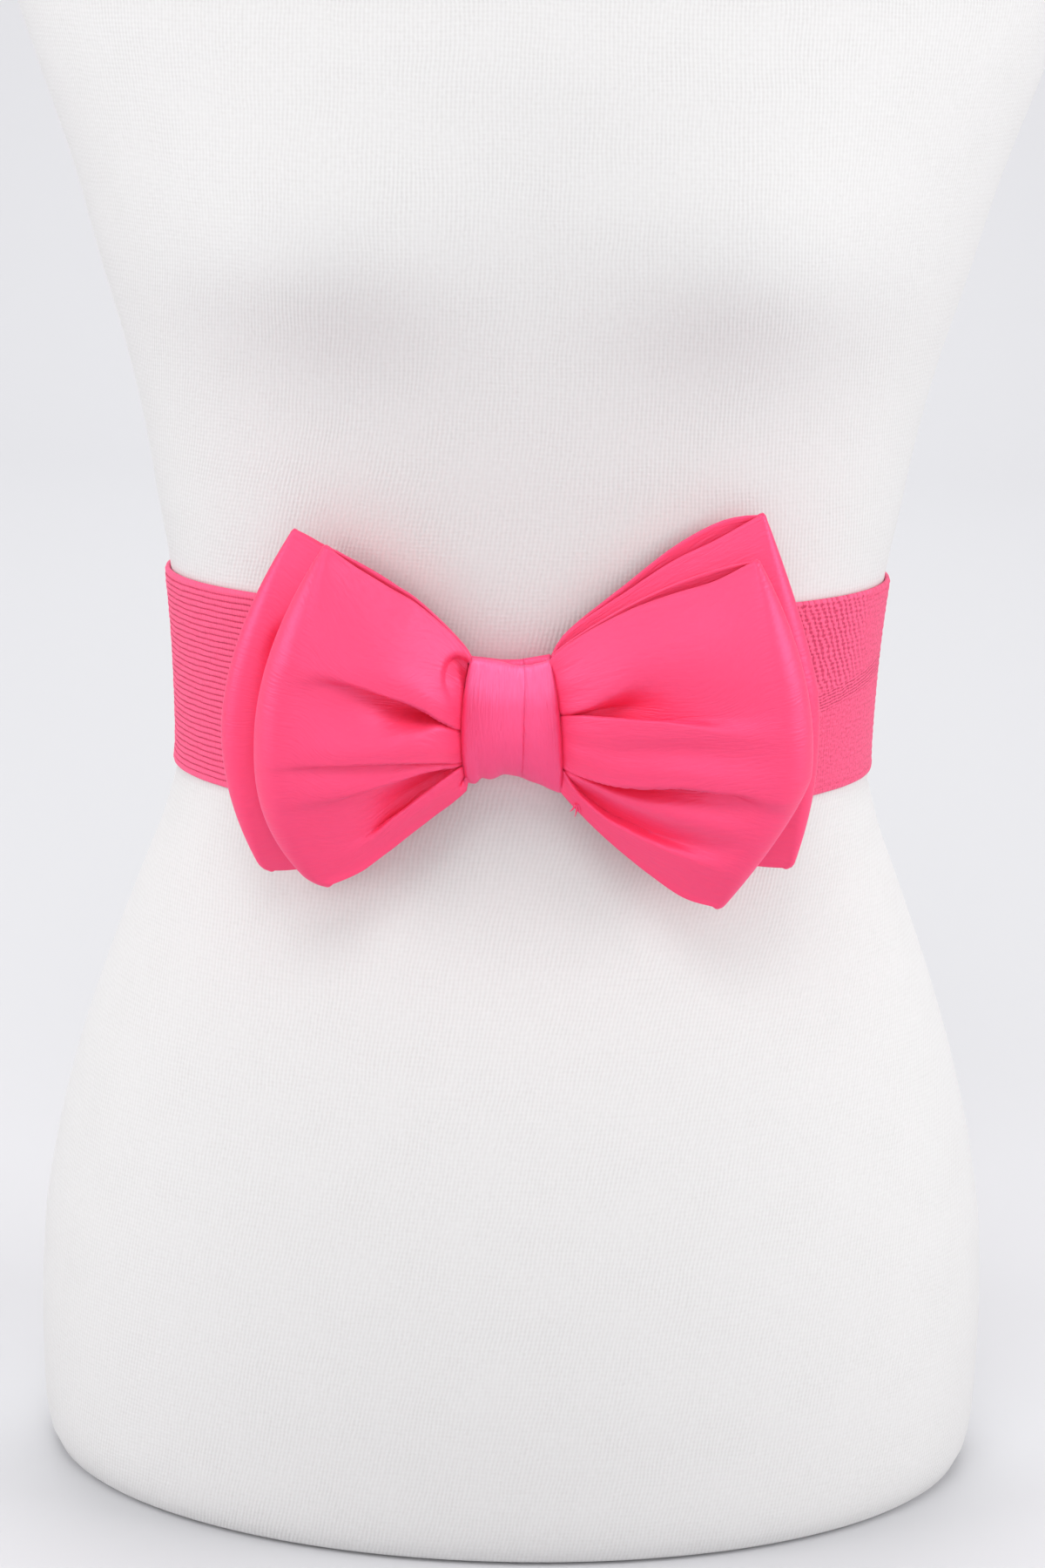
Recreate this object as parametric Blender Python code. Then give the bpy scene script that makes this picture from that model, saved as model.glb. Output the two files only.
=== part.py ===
"""Bow waist belt on a dress form.

A wide ribbed elastic belt is worn round the waist of a limbless dress form. It is gathered
at the centre front, where a wrap of satin holds it together with a double satin bow. Each
bow is one satin band closed into a ring, open at its top and bottom, pinched at its middle.

All driving dimensions are in millimetres. +X is the form's left, which is the viewer's
right, -Y is the front, and heights are above the surface that the form stands on.
"""

import math
from typing import NamedTuple

import bpy
import numpy as np

MM = 0.001

# ---------------------------------------------------------------- the dress form

FORM_AXIS_Y = -1.6  # the axis stands this far in front of the middle of the footprint
SIDE_COLUMNS = 32  # even steps round the form and the belt
FRONT_SPLITS = 4  # steps at the centre front that are split in two


class FormSection(NamedTuple):
    """One horizontal section of the form: two half ellipses that share a width."""

    height: float
    half_width: float
    front: float
    back: float


FORM_SECTIONS = (
    FormSection(0, 151.5, 105.5, 106),  # flat underside
    FormSection(3, 155, 108, 109),
    FormSection(9, 157.5, 110, 111.5),
    FormSection(20, 159, 111.5, 114),
    FormSection(50, 159.7, 112.5, 118),  # hips
    FormSection(80, 158.5, 111.5, 119),
    FormSection(110, 154, 109, 115.5),
    FormSection(140, 146.8, 104.5, 108),
    FormSection(170, 137.3, 98, 98),
    FormSection(200, 126.2, 89.5, 87),
    FormSection(225, 117, 83, 79),
    FormSection(245, 113, 80.3, 76),  # waist
    FormSection(270, 113.8, 79.8, 76),
    FormSection(302, 116.5, 80.6, 79),
    FormSection(325, 120.6, 83, 83),
    FormSection(350, 125, 87.5, 88),
    FormSection(375, 131, 92.5, 93),
    FormSection(400, 138.5, 97, 97),
    FormSection(430, 147, 100.5, 100.5),  # chest
    FormSection(460, 157.5, 101, 103),
    FormSection(490, 168, 97.5, 104),
    FormSection(520, 177.5, 91, 103.5),
    FormSection(550, 183.5, 83, 101),  # shoulders
    FormSection(575, 181, 74, 96),
    FormSection(595, 169, 65, 88),
    FormSection(612, 147, 57.5, 79),
    FormSection(626, 117, 52, 71),
    FormSection(640, 85, 48.5, 62),
    FormSection(655, 64.5, 47, 54.5),
    FormSection(672, 57, 46, 50),
    FormSection(700, 55, 45, 48),  # flat top of the neck
)

WAIST_FROM = 200.0  # between these heights the form has closer rows, to follow the belt
WAIST_TO = 350.0
WAIST_SPLITS = 3

BUST_X = 72.0  # from the middle to the fullest point of each side of the bust
BUST_HEIGHT = 412.0
BUST_FULLNESS = 15.0
BUST_SPREAD_X = 45.0
BUST_SPREAD_BELOW = 31.0
BUST_SPREAD_ABOVE = 48.0

# ---------------------------------------------------------------- the elastic belt

BELT_HEIGHT = 65.0
BELT_MIDDLE = 269.8  # height of the belt's middle line
BELT_TILT = 0.006  # the belt sits a little higher on the viewer's right
BELT_GAP = 0.5  # clear of the form
BELT_WALL = 1.5
RIB_COUNT = 31
RIB_PITCH = 2.0
RIB_RISE = 0.5
GATHERED_HEIGHT = 33.0  # of the belt inside the wrap
GATHER_CLEARANCE = 2.8  # the belt stays gathered this far out from the wrap
GATHER_START = 62.0  # from the bow's middle, where the belt starts to narrow
LIFT_START = 50.0  # and where it starts to leave the form

# ---------------------------------------------------------------- the bow's middle

BOW_X = -3.3
BOW_HEIGHT = 269.4
FRONT_PLANE = 80.4  # the form's front under the bow, from its axis; depths count from here

SATIN_WALL = 1.2
SEAM_GAP = 0.5  # between the belt and the back of the wrap
PINCH_HEIGHT = 31.6  # of the bows inside the wrap
PINCH_CLEARANCE = 0.8  # from the wrap's edge to where the loops start to open
PLEAT_RISE = 0.7  # of the small pleats in the pinched middle
PLEAT_COUNT = 5

WRAP_HEIGHT = 37.8
WRAP_BACK = 0.6
WRAP_FRONT = 16.2
WRAP_CORNER_FRONT = 4.2
WRAP_CORNER_BACK = 2.4
WRAP_CROWN = 1.2  # how far the front of the wrap bows out
WRAP_FOLD_SHARE = 0.63  # the upright fold on the front, as a share of the width from the left
WRAP_FOLD_RISE = 1.1


class WrapEdges(NamedTuple):
    """Where the wrap ends to the left and right of the bow's middle, at one level."""

    left: float
    right: float


WRAP_TOP = WrapEdges(-12.9, 10.6)
WRAP_MIDDLE = WrapEdges(-15.1, 14.6)
WRAP_BOTTOM = WrapEdges(-13.6, 15.0)


# ---------------------------------------------------------------- the bow's loops


class Loop(NamedTuple):
    """One half of a bow. The outer fold runs from its bottom corner to its top corner."""

    side: int  # -1 is the viewer's left
    top_x: float
    top_height: float
    bottom_x: float
    bottom_height: float
    bulge: float  # how far the outer fold bows out
    bulge_level: float  # where it bows out most, from -1 at the bottom to 1 at the top
    lower_power: float  # 1 is straight from there to the bottom corner, more is rounder
    top_bow: float  # how far the top edge bows up
    bottom_bow: float  # how far the bottom edge bows down
    back_rise: float  # how far the back layer's top edge stands above the front one's
    fold_radius: float  # of the rolled outer fold at its middle
    corner_radius: float  # and at its corners
    seat: float  # depth of the back layer at the outer fold
    corner_seat: float  # how much further forward its corners are
    puff: float  # extra fullness of the front layer


BACK_LOOPS = (
    Loop(
        side=-1, top_x=-71.6, top_height=327.0, bottom_x=-80.2, bottom_height=220.8,
        bulge=17.2, bulge_level=-0.05, lower_power=1.9, top_bow=5.5, bottom_bow=7.5,
        back_rise=0.6, fold_radius=4.6, corner_radius=1.8, seat=-2.5, corner_seat=1.5, puff=0.5,
    ),
    Loop(
        side=1, top_x=70.9, top_height=335.6, bottom_x=85.6, bottom_height=226.0,
        bulge=12.4, bulge_level=0.0, lower_power=1.9, top_bow=6.5, bottom_bow=6.5,
        back_rise=4.2, fold_radius=4.6, corner_radius=2.2, seat=-2.5, corner_seat=2.0, puff=0.5,
    ),
)
FRONT_LOOPS = (
    Loop(
        side=-1, top_x=-61.0, top_height=325.6, bottom_x=-63.0, bottom_height=220.0,
        bulge=19.0, bulge_level=-0.1, lower_power=2.6, top_bow=6.0, bottom_bow=5.2,
        back_rise=0.8, fold_radius=10.5, corner_radius=2.4, seat=13.4, corner_seat=5.0, puff=5.0,
    ),
    Loop(
        side=1, top_x=69.2, top_height=322.6, bottom_x=61.8, bottom_height=215.8,
        bulge=22.4, bulge_level=-0.2, lower_power=1.3, top_bow=5.0, bottom_bow=5.0,
        back_rise=4.2, fold_radius=10.5, corner_radius=2.6, seat=13.4, corner_seat=5.0, puff=5.0,
    ),
)
BACK_SEAT_AT_WRAP = 6.0  # depth of each bow's back layer inside the wrap
FRONT_SEAT_AT_WRAP = 10.7
LAYER_PITCH = 2.2  # between a bow's two layers inside the wrap


class Crease(NamedTuple):
    """A crease in a front layer that runs out from the wrap, by its levels from -1 to 1."""

    side: int
    level_at_wrap: float
    level_midway: float
    level_at_end: float
    reach: float  # as a share of the way to the outer fold
    width_above: float  # a small width is a steep side, a large one a soft side
    width_below: float
    depth: float


FRONT_CREASES = (
    Crease(-1, 0.62, 0.50, 0.42, 0.45, 0.10, 0.10, 3.0),
    Crease(-1, -0.08, 0.06, 0.22, 1.0, 0.07, 0.20, 8.5),
    Crease(-1, -0.46, -0.32, -0.24, 0.95, 0.10, 0.08, 4.0),
    Crease(-1, -0.66, -0.68, -0.58, 1.0, 0.10, 0.10, 6.5),
    Crease(1, 0.62, 0.56, 0.55, 0.5, 0.12, 0.12, 2.8),
    Crease(1, 0.10, 0.12, 0.16, 1.0, 0.22, 0.07, 8.5),
    Crease(1, -0.42, -0.26, -0.30, 1.0, 0.07, 0.16, 5.0),
    Crease(1, -0.68, -0.64, -0.70, 1.0, 0.08, 0.13, 6.0),
)
BACK_CREASES = (
    Crease(-1, 0.2, 0.25, 0.3, 0.8, 0.2, 0.2, 1.2),
    Crease(-1, -0.5, -0.4, -0.4, 0.8, 0.2, 0.2, 1.2),
    Crease(1, 0.3, 0.35, 0.4, 0.9, 0.2, 0.2, 1.4),
    Crease(1, -0.4, -0.35, -0.3, 0.8, 0.2, 0.2, 1.2),
)

# ---------------------------------------------------------------- finishes


class Finish(NamedTuple):
    """A plain finish: its colour is linear."""

    name: str
    colour: tuple[float, float, float]
    roughness: float


FORM_COVER = Finish("form_cover", (0.84, 0.84, 0.84), 0.85)
ELASTIC = Finish("ribbed_elastic", (0.91, 0.13, 0.27), 0.7)
SATIN_FRONT = Finish("bow_satin_front", (0.96, 0.11, 0.26), 0.4)
SATIN_BACK = Finish("bow_satin_back", (0.94, 0.10, 0.24), 0.4)
SATIN_WRAP = Finish("wrap_satin", (0.95, 0.11, 0.26), 0.4)


# ---------------------------------------------------------------- shared geometry


def clear_scene():
    """Remove whatever the scene holds."""
    for obj in list(bpy.data.objects):
        bpy.data.objects.remove(obj, do_unlink=True)


def smooth_step(value):
    """Ease a value from 0 to 1, flat at both ends."""
    clamped = np.clip(value, 0.0, 1.0)
    return clamped * clamped * (3.0 - 2.0 * clamped)


def smooth_through(places, values, at):
    """Read a smooth curve through the values, with no overshoot between them."""
    places = np.asarray(places, float)
    values = np.asarray(values, float)
    steps = np.diff(places)
    slopes = np.diff(values) / steps
    product = slopes[:-1] * slopes[1:]
    total = np.where(product > 0, slopes[:-1] + slopes[1:], 1.0)
    inner = np.where(product > 0, 2.0 * product / total, 0.0)
    tangents = np.concatenate([slopes[:1], inner, slopes[-1:]])
    index = np.clip(np.searchsorted(places, at, side="right") - 1, 0, len(steps) - 1)
    step = steps[index]
    u = (at - places[index]) / step
    start = (1 + 2 * u) * (1 - u) ** 2 * values[index] + u * (1 - u) ** 2 * step * tangents[index]
    end = u * u * (3 - 2 * u) * values[index + 1] - u * u * (1 - u) * step * tangents[index + 1]
    return start + end


def add_mesh(name, points, faces, finish):
    """Make an object of points in millimetres, with its own material, shaded smooth."""
    mesh = bpy.data.meshes.new(name)
    mesh.from_pydata((np.asarray(points) * MM).tolist(), [], faces)
    material = bpy.data.materials.new(finish.name)
    material.use_nodes = True
    shader = material.node_tree.nodes["Principled BSDF"]
    shader.inputs["Base Color"].default_value = (*finish.colour, 1.0)
    shader.inputs["Roughness"].default_value = finish.roughness
    shader.inputs["Metallic"].default_value = 0.0
    material.diffuse_color = (*finish.colour, 1.0)
    mesh.materials.append(material)
    mesh.shade_smooth()
    mesh.set_sharp_from_angle(angle=math.radians(50))
    obj = bpy.data.objects.new(name, mesh)
    bpy.context.scene.collection.objects.link(obj)
    return obj


def strip_faces(first, second, closed=True):
    """Join two rows of point numbers with quads."""
    count = len(first)
    last = count if closed else count - 1
    return [
        (first[i], first[(i + 1) % count], second[(i + 1) % count], second[i])
        for i in range(last)
    ]


def ring_wall(name, outer_rows, inner_rows, finish):
    """Make a closed wall from rings of points: the outer rows upwards, the inner rows upwards.

    Each row runs anticlockwise seen from above. The top and bottom edges join the two sides.
    """
    count = len(outer_rows[0])
    rows = list(outer_rows) + list(inner_rows)[::-1]
    points = np.concatenate(rows)
    numbers = np.arange(len(points)).reshape(len(rows), count).tolist()
    faces = []
    for lower, upper in zip(numbers, numbers[1:] + numbers[:1]):
        faces += strip_faces(lower, upper)
    return add_mesh(name, points, faces, finish)


# ---------------------------------------------------------------- the dress form


def ring_angles():
    """Angles of the columns round the form, finer at the centre front."""
    step = 2 * math.pi / SIDE_COLUMNS
    even = np.arange(SIDE_COLUMNS) * step
    first = 1.5 * math.pi - (FRONT_SPLITS / 2 - 0.5) * step
    split = first + np.arange(FRONT_SPLITS) * step
    return np.sort(np.concatenate([even, split]))


def form_section(heights):
    """Half width, front depth and back depth of the form at each height."""
    places = [row.height for row in FORM_SECTIONS]
    return [
        smooth_through(places, [getattr(row, name) for row in FORM_SECTIONS], heights)
        for name in ("half_width", "front", "back")
    ]


def bust_rise(x, heights):
    """How far the bust stands forward of the plain section."""
    spread = np.where(heights < BUST_HEIGHT, BUST_SPREAD_BELOW, BUST_SPREAD_ABOVE)
    upright = np.exp(-(((heights - BUST_HEIGHT) / spread) ** 2))
    across = np.exp(-(((np.abs(x) - BUST_X) / BUST_SPREAD_X) ** 2))
    return BUST_FULLNESS * upright * across


def form_surface(angles, heights, offset=0.0):
    """Points of the form at each angle and height, moved outwards by an offset."""
    half_width, front, back = form_section(heights)
    cosine, sine = np.cos(angles), np.sin(angles)
    depth = np.where(sine < 0, front, back)
    x, y = half_width * cosine, depth * sine
    normal_x, normal_y = cosine / half_width, sine / depth
    length = np.hypot(normal_x, normal_y)
    y = y - np.where(sine < 0, bust_rise(x, heights) * np.minimum(1.0, -2.0 * sine), 0.0)
    return x + offset * normal_x / length, y + offset * normal_y / length + FORM_AXIS_Y


def form_heights():
    """Heights of the form's rows: its sections, with closer ones at the waist."""
    heights = [0.0]
    for lower, upper in zip(FORM_SECTIONS, FORM_SECTIONS[1:]):
        at_waist = WAIST_FROM <= lower.height and upper.height <= WAIST_TO
        steps = WAIST_SPLITS if at_waist else 1
        heights += np.linspace(lower.height, upper.height, steps + 1)[1:].tolist()
    return heights


def make_dress_form():
    """The form: smooth rings from its flat underside to the flat top of its neck."""
    angles = ring_angles()
    rows = []
    for height in form_heights():
        level = np.full_like(angles, float(height))
        x, y = form_surface(angles, level)
        rows.append(np.column_stack([x, y, level]))
    count = len(angles)
    numbers = np.arange(len(rows) * count).reshape(len(rows), count).tolist()
    faces = [tuple(numbers[0][::-1]), tuple(numbers[-1])]
    for lower, upper in zip(numbers, numbers[1:]):
        faces += strip_faces(lower, upper)
    return add_mesh("dress_form", np.concatenate(rows), faces, FORM_COVER)


# ---------------------------------------------------------------- the elastic belt


def belt_row(angles, level, offset):
    """One ring of the belt at a level from -1 to 1, at an offset from its inner side."""
    x, y = form_surface(angles, np.full_like(angles, BELT_MIDDLE))
    from_bow = np.where(y < FORM_AXIS_Y, np.abs(x - BOW_X), GATHER_START)
    wrap_half = WRAP_MIDDLE.right + GATHER_CLEARANCE
    opened = smooth_step((from_bow - wrap_half) / (GATHER_START - wrap_half))
    seated = smooth_step((from_bow - wrap_half) / (LIFT_START - wrap_half))
    half_height = 0.5 * (GATHERED_HEIGHT + (BELT_HEIGHT - GATHERED_HEIGHT) * opened)
    heights = BELT_MIDDLE + BELT_TILT * (x - BOW_X) * opened + half_height * level
    seat_x, seat_y = form_surface(angles, heights, BELT_GAP + offset)
    lifted = FORM_AXIS_Y - FRONT_PLANE - WRAP_BACK - SATIN_WALL - SEAM_GAP - offset
    y = np.where(y < FORM_AXIS_Y, lifted + (seat_y - lifted) * seated, seat_y)
    return np.column_stack([seat_x, y, heights])


def make_belt():
    """The elastic: ribs raised along its outer side, plain inside, plain edges."""
    angles = ring_angles()
    half = BELT_HEIGHT / 2
    edge = (BELT_HEIGHT - RIB_COUNT * RIB_PITCH) / 2
    outer = [belt_row(angles, -1.0, BELT_WALL), belt_row(angles, edge / half - 1, BELT_WALL)]
    for rib in range(RIB_COUNT):
        ridge = (edge + (rib + 0.5) * RIB_PITCH) / half - 1
        groove = (edge + (rib + 1.0) * RIB_PITCH) / half - 1
        outer.append(belt_row(angles, ridge, BELT_WALL + RIB_RISE))
        outer.append(belt_row(angles, groove, BELT_WALL))
    outer.append(belt_row(angles, 1.0, BELT_WALL))
    inner = [belt_row(angles, level, 0.0) for level in (-1.0, -0.33, 0.33, 1.0)]
    return ring_wall("elastic_belt", outer, inner, ELASTIC)


# ---------------------------------------------------------------- the bows


def wrap_edge(side, level):
    """X of the wrap's left or right edge at a level from -1 to 1, from the bow's middle."""
    name = "left" if side < 0 else "right"
    bottom, middle, top = (getattr(row, name) for row in (WRAP_BOTTOM, WRAP_MIDDLE, WRAP_TOP))
    return middle + (top - bottom) / 2 * level + ((top + bottom) / 2 - middle) * level**2


def outer_fold(loop, level):
    """X and height of a loop's outer fold at a level."""
    span = np.where(level > loop.bulge_level, 1 - loop.bulge_level, 1 + loop.bulge_level)
    power = np.where(level > loop.bulge_level, 1.9, loop.lower_power)
    bow = 1 - np.abs((level - loop.bulge_level) / span) ** power
    up = (level + 1) / 2
    x = loop.bottom_x + (loop.top_x - loop.bottom_x) * up + loop.side * loop.bulge * bow
    return x, loop.bottom_height + (loop.top_height - loop.bottom_height) * up


def crease_depth(creases, side, reach, level):
    """How far the creases draw a front layer in, at a share of the way out and a level."""
    drawn = np.zeros_like(level)
    for crease in creases:
        if crease.side != side:
            continue
        share = reach / crease.reach
        first = crease.level_at_wrap + (crease.level_midway - crease.level_at_wrap) * share
        second = crease.level_midway + (crease.level_at_end - crease.level_midway) * share
        line = first + (second - first) * np.clip(share, 0, 1)
        strength = smooth_step(reach / 0.22) * (1 - smooth_step((share - 0.35) / 0.65))
        side_width = np.where(level > line, crease.width_above, crease.width_below)
        width = side_width * (1 + 0.5 * reach)
        drawn = drawn + crease.depth * strength * np.exp(-(((level - line) / width) ** 2))
    return drawn


def loop_path(loop, reach, level):
    """X and height of the way from the wrap's edge to the outer fold."""
    start_x = BOW_X + wrap_edge(loop.side, level) + loop.side * PINCH_CLEARANCE
    start_z = BOW_HEIGHT + level * PINCH_HEIGHT / 2
    end_x, end_z = outer_fold(loop, level)
    along = np.where(level > 0, reach**0.75, reach)
    bow = np.where(level > 0, loop.top_bow, -loop.bottom_bow) * level**2
    height = start_z + (end_z - start_z) * reach + bow * 4 * along * (1 - along)
    return start_x + (end_x - start_x) * reach, height


def pleats(level, reach):
    """Small pleats that the wrap presses into every layer, gone a little way out."""
    fade = 1 - smooth_step(reach / 0.25)
    return PLEAT_RISE * np.cos(math.pi * PLEAT_COUNT * level) * fade


def bow_columns(front_reaches, back_reaches, arc_steps):
    """Columns of a ring: side, layer, reach and angle round the outer fold."""
    columns = []
    for side in (-1, 1):
        front = [(side, "front", reach, 0.0) for reach in front_reaches]
        turn = [(side, "fold", 1.0, math.pi * i / arc_steps) for i in range(1, arc_steps)]
        back = [(side, "back", reach, 0.0) for reach in reversed(back_reaches)]
        half = front + turn + back
        columns += half if side < 0 else half[::-1]
    return columns


def bow_column(loop, layer, reach, turn, level, seat_at_wrap, creases):
    """One column of a bow's middle surface: X, Y and height at each level."""
    corner = np.abs(level) ** 2.4
    radius = loop.fold_radius + (loop.corner_radius - loop.fold_radius) * corner
    full = math.sin(math.pi / 2 * reach)
    seat_end = loop.seat + loop.corner_seat * corner
    seat = seat_at_wrap + (seat_end - seat_at_wrap) * reach**1.2
    width = LAYER_PITCH + (2 * radius - LAYER_PITCH) * full
    way_x, way_z = loop_path(loop, reach, level)
    end_x, end_z = outer_fold(loop, level)
    start_x, start_z = loop_path(loop, 0.0, level)
    length = np.hypot(end_x - start_x, end_z - start_z)
    out_x, out_z = (end_x - start_x) / length, (end_z - start_z) / length
    if layer == "fold":
        back_off = radius * (1 - math.sin(turn))
        depth = seat + radius * (1 + math.cos(turn))
    else:
        back_off = radius * reach
        depth = seat + pleats(level, reach)
        if layer == "front":
            puff = loop.puff * math.sin(math.pi * reach**0.6) * (1 - level**2)
            depth = depth + width + puff - crease_depth(creases, loop.side, reach, level)
        else:
            rise = loop.back_rise * np.maximum(level, 0) ** 3
            way_z = way_z + rise * 6.75 * reach**2 * (1 - reach)
    x = way_x - out_x * back_off
    z = way_z - out_z * back_off
    return np.column_stack([x, FORM_AXIS_Y - FRONT_PLANE - depth, z])


def make_bow(name, loops, seat_at_wrap, creases, levels, columns, finish):
    """A bow: one band of satin closed into a ring and pinched at its middle."""
    level = np.array(levels)
    by_side = {loop.side: loop for loop in loops}
    grid = np.array([
        bow_column(by_side[side], layer, reach, turn, level, seat_at_wrap, creases)
        for side, layer, reach, turn in columns
    ])
    around = np.roll(grid, -1, axis=0) - np.roll(grid, 1, axis=0)
    upwards = np.gradient(grid, axis=1)
    normal = np.cross(upwards, around)
    normal /= np.linalg.norm(normal, axis=2, keepdims=True)
    outer = (grid + normal * SATIN_WALL / 2)[::-1].transpose(1, 0, 2)
    inner = (grid - normal * SATIN_WALL / 2)[::-1].transpose(1, 0, 2)
    return ring_wall(name, outer, inner, finish)


# ---------------------------------------------------------------- the wrap


def rounded_section(inset):
    """The wrap's section seen from the side: depth and level points, round its four corners."""
    half = WRAP_HEIGHT / 2 - inset
    back, front = WRAP_BACK + inset, WRAP_FRONT - inset
    corners = (
        (front, half, WRAP_CORNER_FRONT - inset, 0),
        (back, half, WRAP_CORNER_BACK - inset, 1),
        (back, -half, WRAP_CORNER_BACK - inset, 2),
        (front, -half, WRAP_CORNER_FRONT - inset, 3),
    )
    points = []
    for depth, height, radius, quarter in corners:
        inward_d = radius if depth == back else -radius
        inward_h = -radius if height > 0 else radius
        for step in range(4):
            angle = math.pi / 2 * (quarter + step / 3)
            points.append((
                depth + inward_d + radius * math.cos(angle),
                height + inward_h + radius * math.sin(angle),
            ))
        if quarter in (1, 3):
            next_half = half - radius if quarter == 3 else -(half - radius)
            start = points[-1]
            for share in (0.2, 0.4, 0.6, 0.8):
                height_now = start[1] + (next_half - start[1]) * share
                points.append((start[0], height_now))
    return np.array(points)[::-1]


def make_wrap():
    """The wrap: a strip of satin taken once round the bows and the belt, with one upright fold."""
    fold = WRAP_FOLD_SHARE
    across = (0.0, fold * 0.35, fold * 0.7, fold - 0.02, fold + 0.02, fold + 0.2, 1.0)
    rises = (0.0, 0.2, 0.2, 0.0, WRAP_FOLD_RISE, WRAP_FOLD_RISE * 0.8, 0.3)
    half_inside = WRAP_HEIGHT / 2
    rows = {"outer": [], "inner": []}
    for share, rise in zip(across, rises):
        for key, inset in (("outer", 0.0), ("inner", SATIN_WALL)):
            section = rounded_section(inset)
            depth, height = section[:, 0], section[:, 1]
            level = np.clip(height / half_inside, -1, 1)
            left, right = wrap_edge(-1, level), wrap_edge(1, level)
            x = BOW_X + left + (right - left) * share
            frontness = smooth_step((depth - WRAP_FRONT / 2) / (WRAP_FRONT / 3))
            crown = WRAP_CROWN * (1 - level**2) * (1 - (2 * share - 1) ** 2)
            out = frontness * (crown + rise)
            y = FORM_AXIS_Y - FRONT_PLANE - depth - out
            rows[key].append(np.column_stack([x, y, BOW_HEIGHT + height]))
    return ring_wall("bow_wrap", rows["outer"], rows["inner"], SATIN_WRAP)


# ---------------------------------------------------------------- the part

FRONT_LEVELS = (  # closer together where the creases run
    -1.0, -0.92, -0.83, -0.76, -0.7, -0.65, -0.6, -0.53, -0.45, -0.37, -0.31, -0.26, -0.21,
    -0.14, -0.06, 0.02, 0.07, 0.12, 0.18, 0.27, 0.38, 0.5, 0.64, 0.78, 0.9, 1.0,
)
BACK_LEVELS = tuple(-1.0 + step / 6 for step in range(13))
FRONT_REACHES = (0.0, 0.05, 0.11, 0.18, 0.27, 0.38, 0.52, 0.68, 0.84, 1.0)
BACK_REACHES = (0.0, 0.08, 0.22, 0.45, 0.72, 1.0)
FOLD_STEPS = 5


def main():
    """Build every piece in its place."""
    clear_scene()
    make_dress_form()
    make_belt()
    make_bow(
        "bow_back", BACK_LOOPS, BACK_SEAT_AT_WRAP, BACK_CREASES, BACK_LEVELS,
        bow_columns(BACK_REACHES, BACK_REACHES, FOLD_STEPS), SATIN_BACK,
    )
    make_bow(
        "bow_front", FRONT_LOOPS, FRONT_SEAT_AT_WRAP, FRONT_CREASES, FRONT_LEVELS,
        bow_columns(FRONT_REACHES, BACK_REACHES, FOLD_STEPS), SATIN_FRONT,
    )
    make_wrap()


main()
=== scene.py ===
"""Dressed model of a bow waist belt on a limbless dress form.

A wide ribbed elastic is worn round the waist of the form. A strip of satin is wrapped round
its gathered front and round two bows of the same satin, one over the other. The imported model
gives the frame. Each piece here is a finer form of one of its nodes, with its real finish.

All sizes are in millimetres. +X is the viewer's right, -Y is the front, +Z is up.
"""

import logging
import math
from dataclasses import dataclass, field
from enum import Enum
from typing import Any, NamedTuple

import bpy
import numpy as np
from mathutils import Matrix, Vector


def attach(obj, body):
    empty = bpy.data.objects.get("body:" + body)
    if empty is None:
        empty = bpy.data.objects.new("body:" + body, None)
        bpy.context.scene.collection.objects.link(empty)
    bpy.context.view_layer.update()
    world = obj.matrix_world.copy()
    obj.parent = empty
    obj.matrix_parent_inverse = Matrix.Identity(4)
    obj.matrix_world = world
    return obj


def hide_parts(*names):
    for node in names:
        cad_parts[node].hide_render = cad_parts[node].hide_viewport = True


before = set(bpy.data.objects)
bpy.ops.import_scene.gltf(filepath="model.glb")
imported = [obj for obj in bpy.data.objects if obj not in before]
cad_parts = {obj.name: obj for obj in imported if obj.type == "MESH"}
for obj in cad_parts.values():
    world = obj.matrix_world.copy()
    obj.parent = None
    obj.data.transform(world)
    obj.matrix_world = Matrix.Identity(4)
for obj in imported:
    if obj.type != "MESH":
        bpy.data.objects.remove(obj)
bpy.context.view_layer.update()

log = logging.getLogger("bow_belt")

MM = 0.001
BODY = "root"
CLOTH_MAP = "cloth"  # the UV map that holds places on the flat cloth, in metres
MATH, RANGE = "ShaderNodeMath", "ShaderNodeMapRange"
OVER = {"operation": "MULTIPLY_ADD"}  # lays a share, 1, of a pattern, 0, over another one, 2
Tree, Socket = bpy.types.NodeTree, bpy.types.NodeSocket


# ---------------------------------------------------------------- numbers and curves


def smooth_step(value: np.ndarray | float) -> np.ndarray:
    """Ease a value from 0 to 1, flat at both ends and held beyond them."""
    clamped = np.clip(value, 0.0, 1.0)
    return clamped * clamped * (3.0 - 2.0 * clamped)


def hump(away: np.ndarray, reach: np.ndarray | float) -> np.ndarray:
    """Give 1 in the middle, and less and less past a reach to either side."""
    return np.exp(-((away / reach) ** 2))


def running(steps: np.ndarray) -> np.ndarray:
    """Add up steps along their first axis, starting from zero."""
    return np.concatenate([np.zeros_like(steps[:1]), np.cumsum(steps, axis=0)])


def spread_out(places: np.ndarray, total: np.ndarray, count: int) -> np.ndarray:
    """Choose some of many places, closer together where a running sum rises faster."""
    return np.interp(np.linspace(total[0], total[-1], count), total, places)


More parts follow.
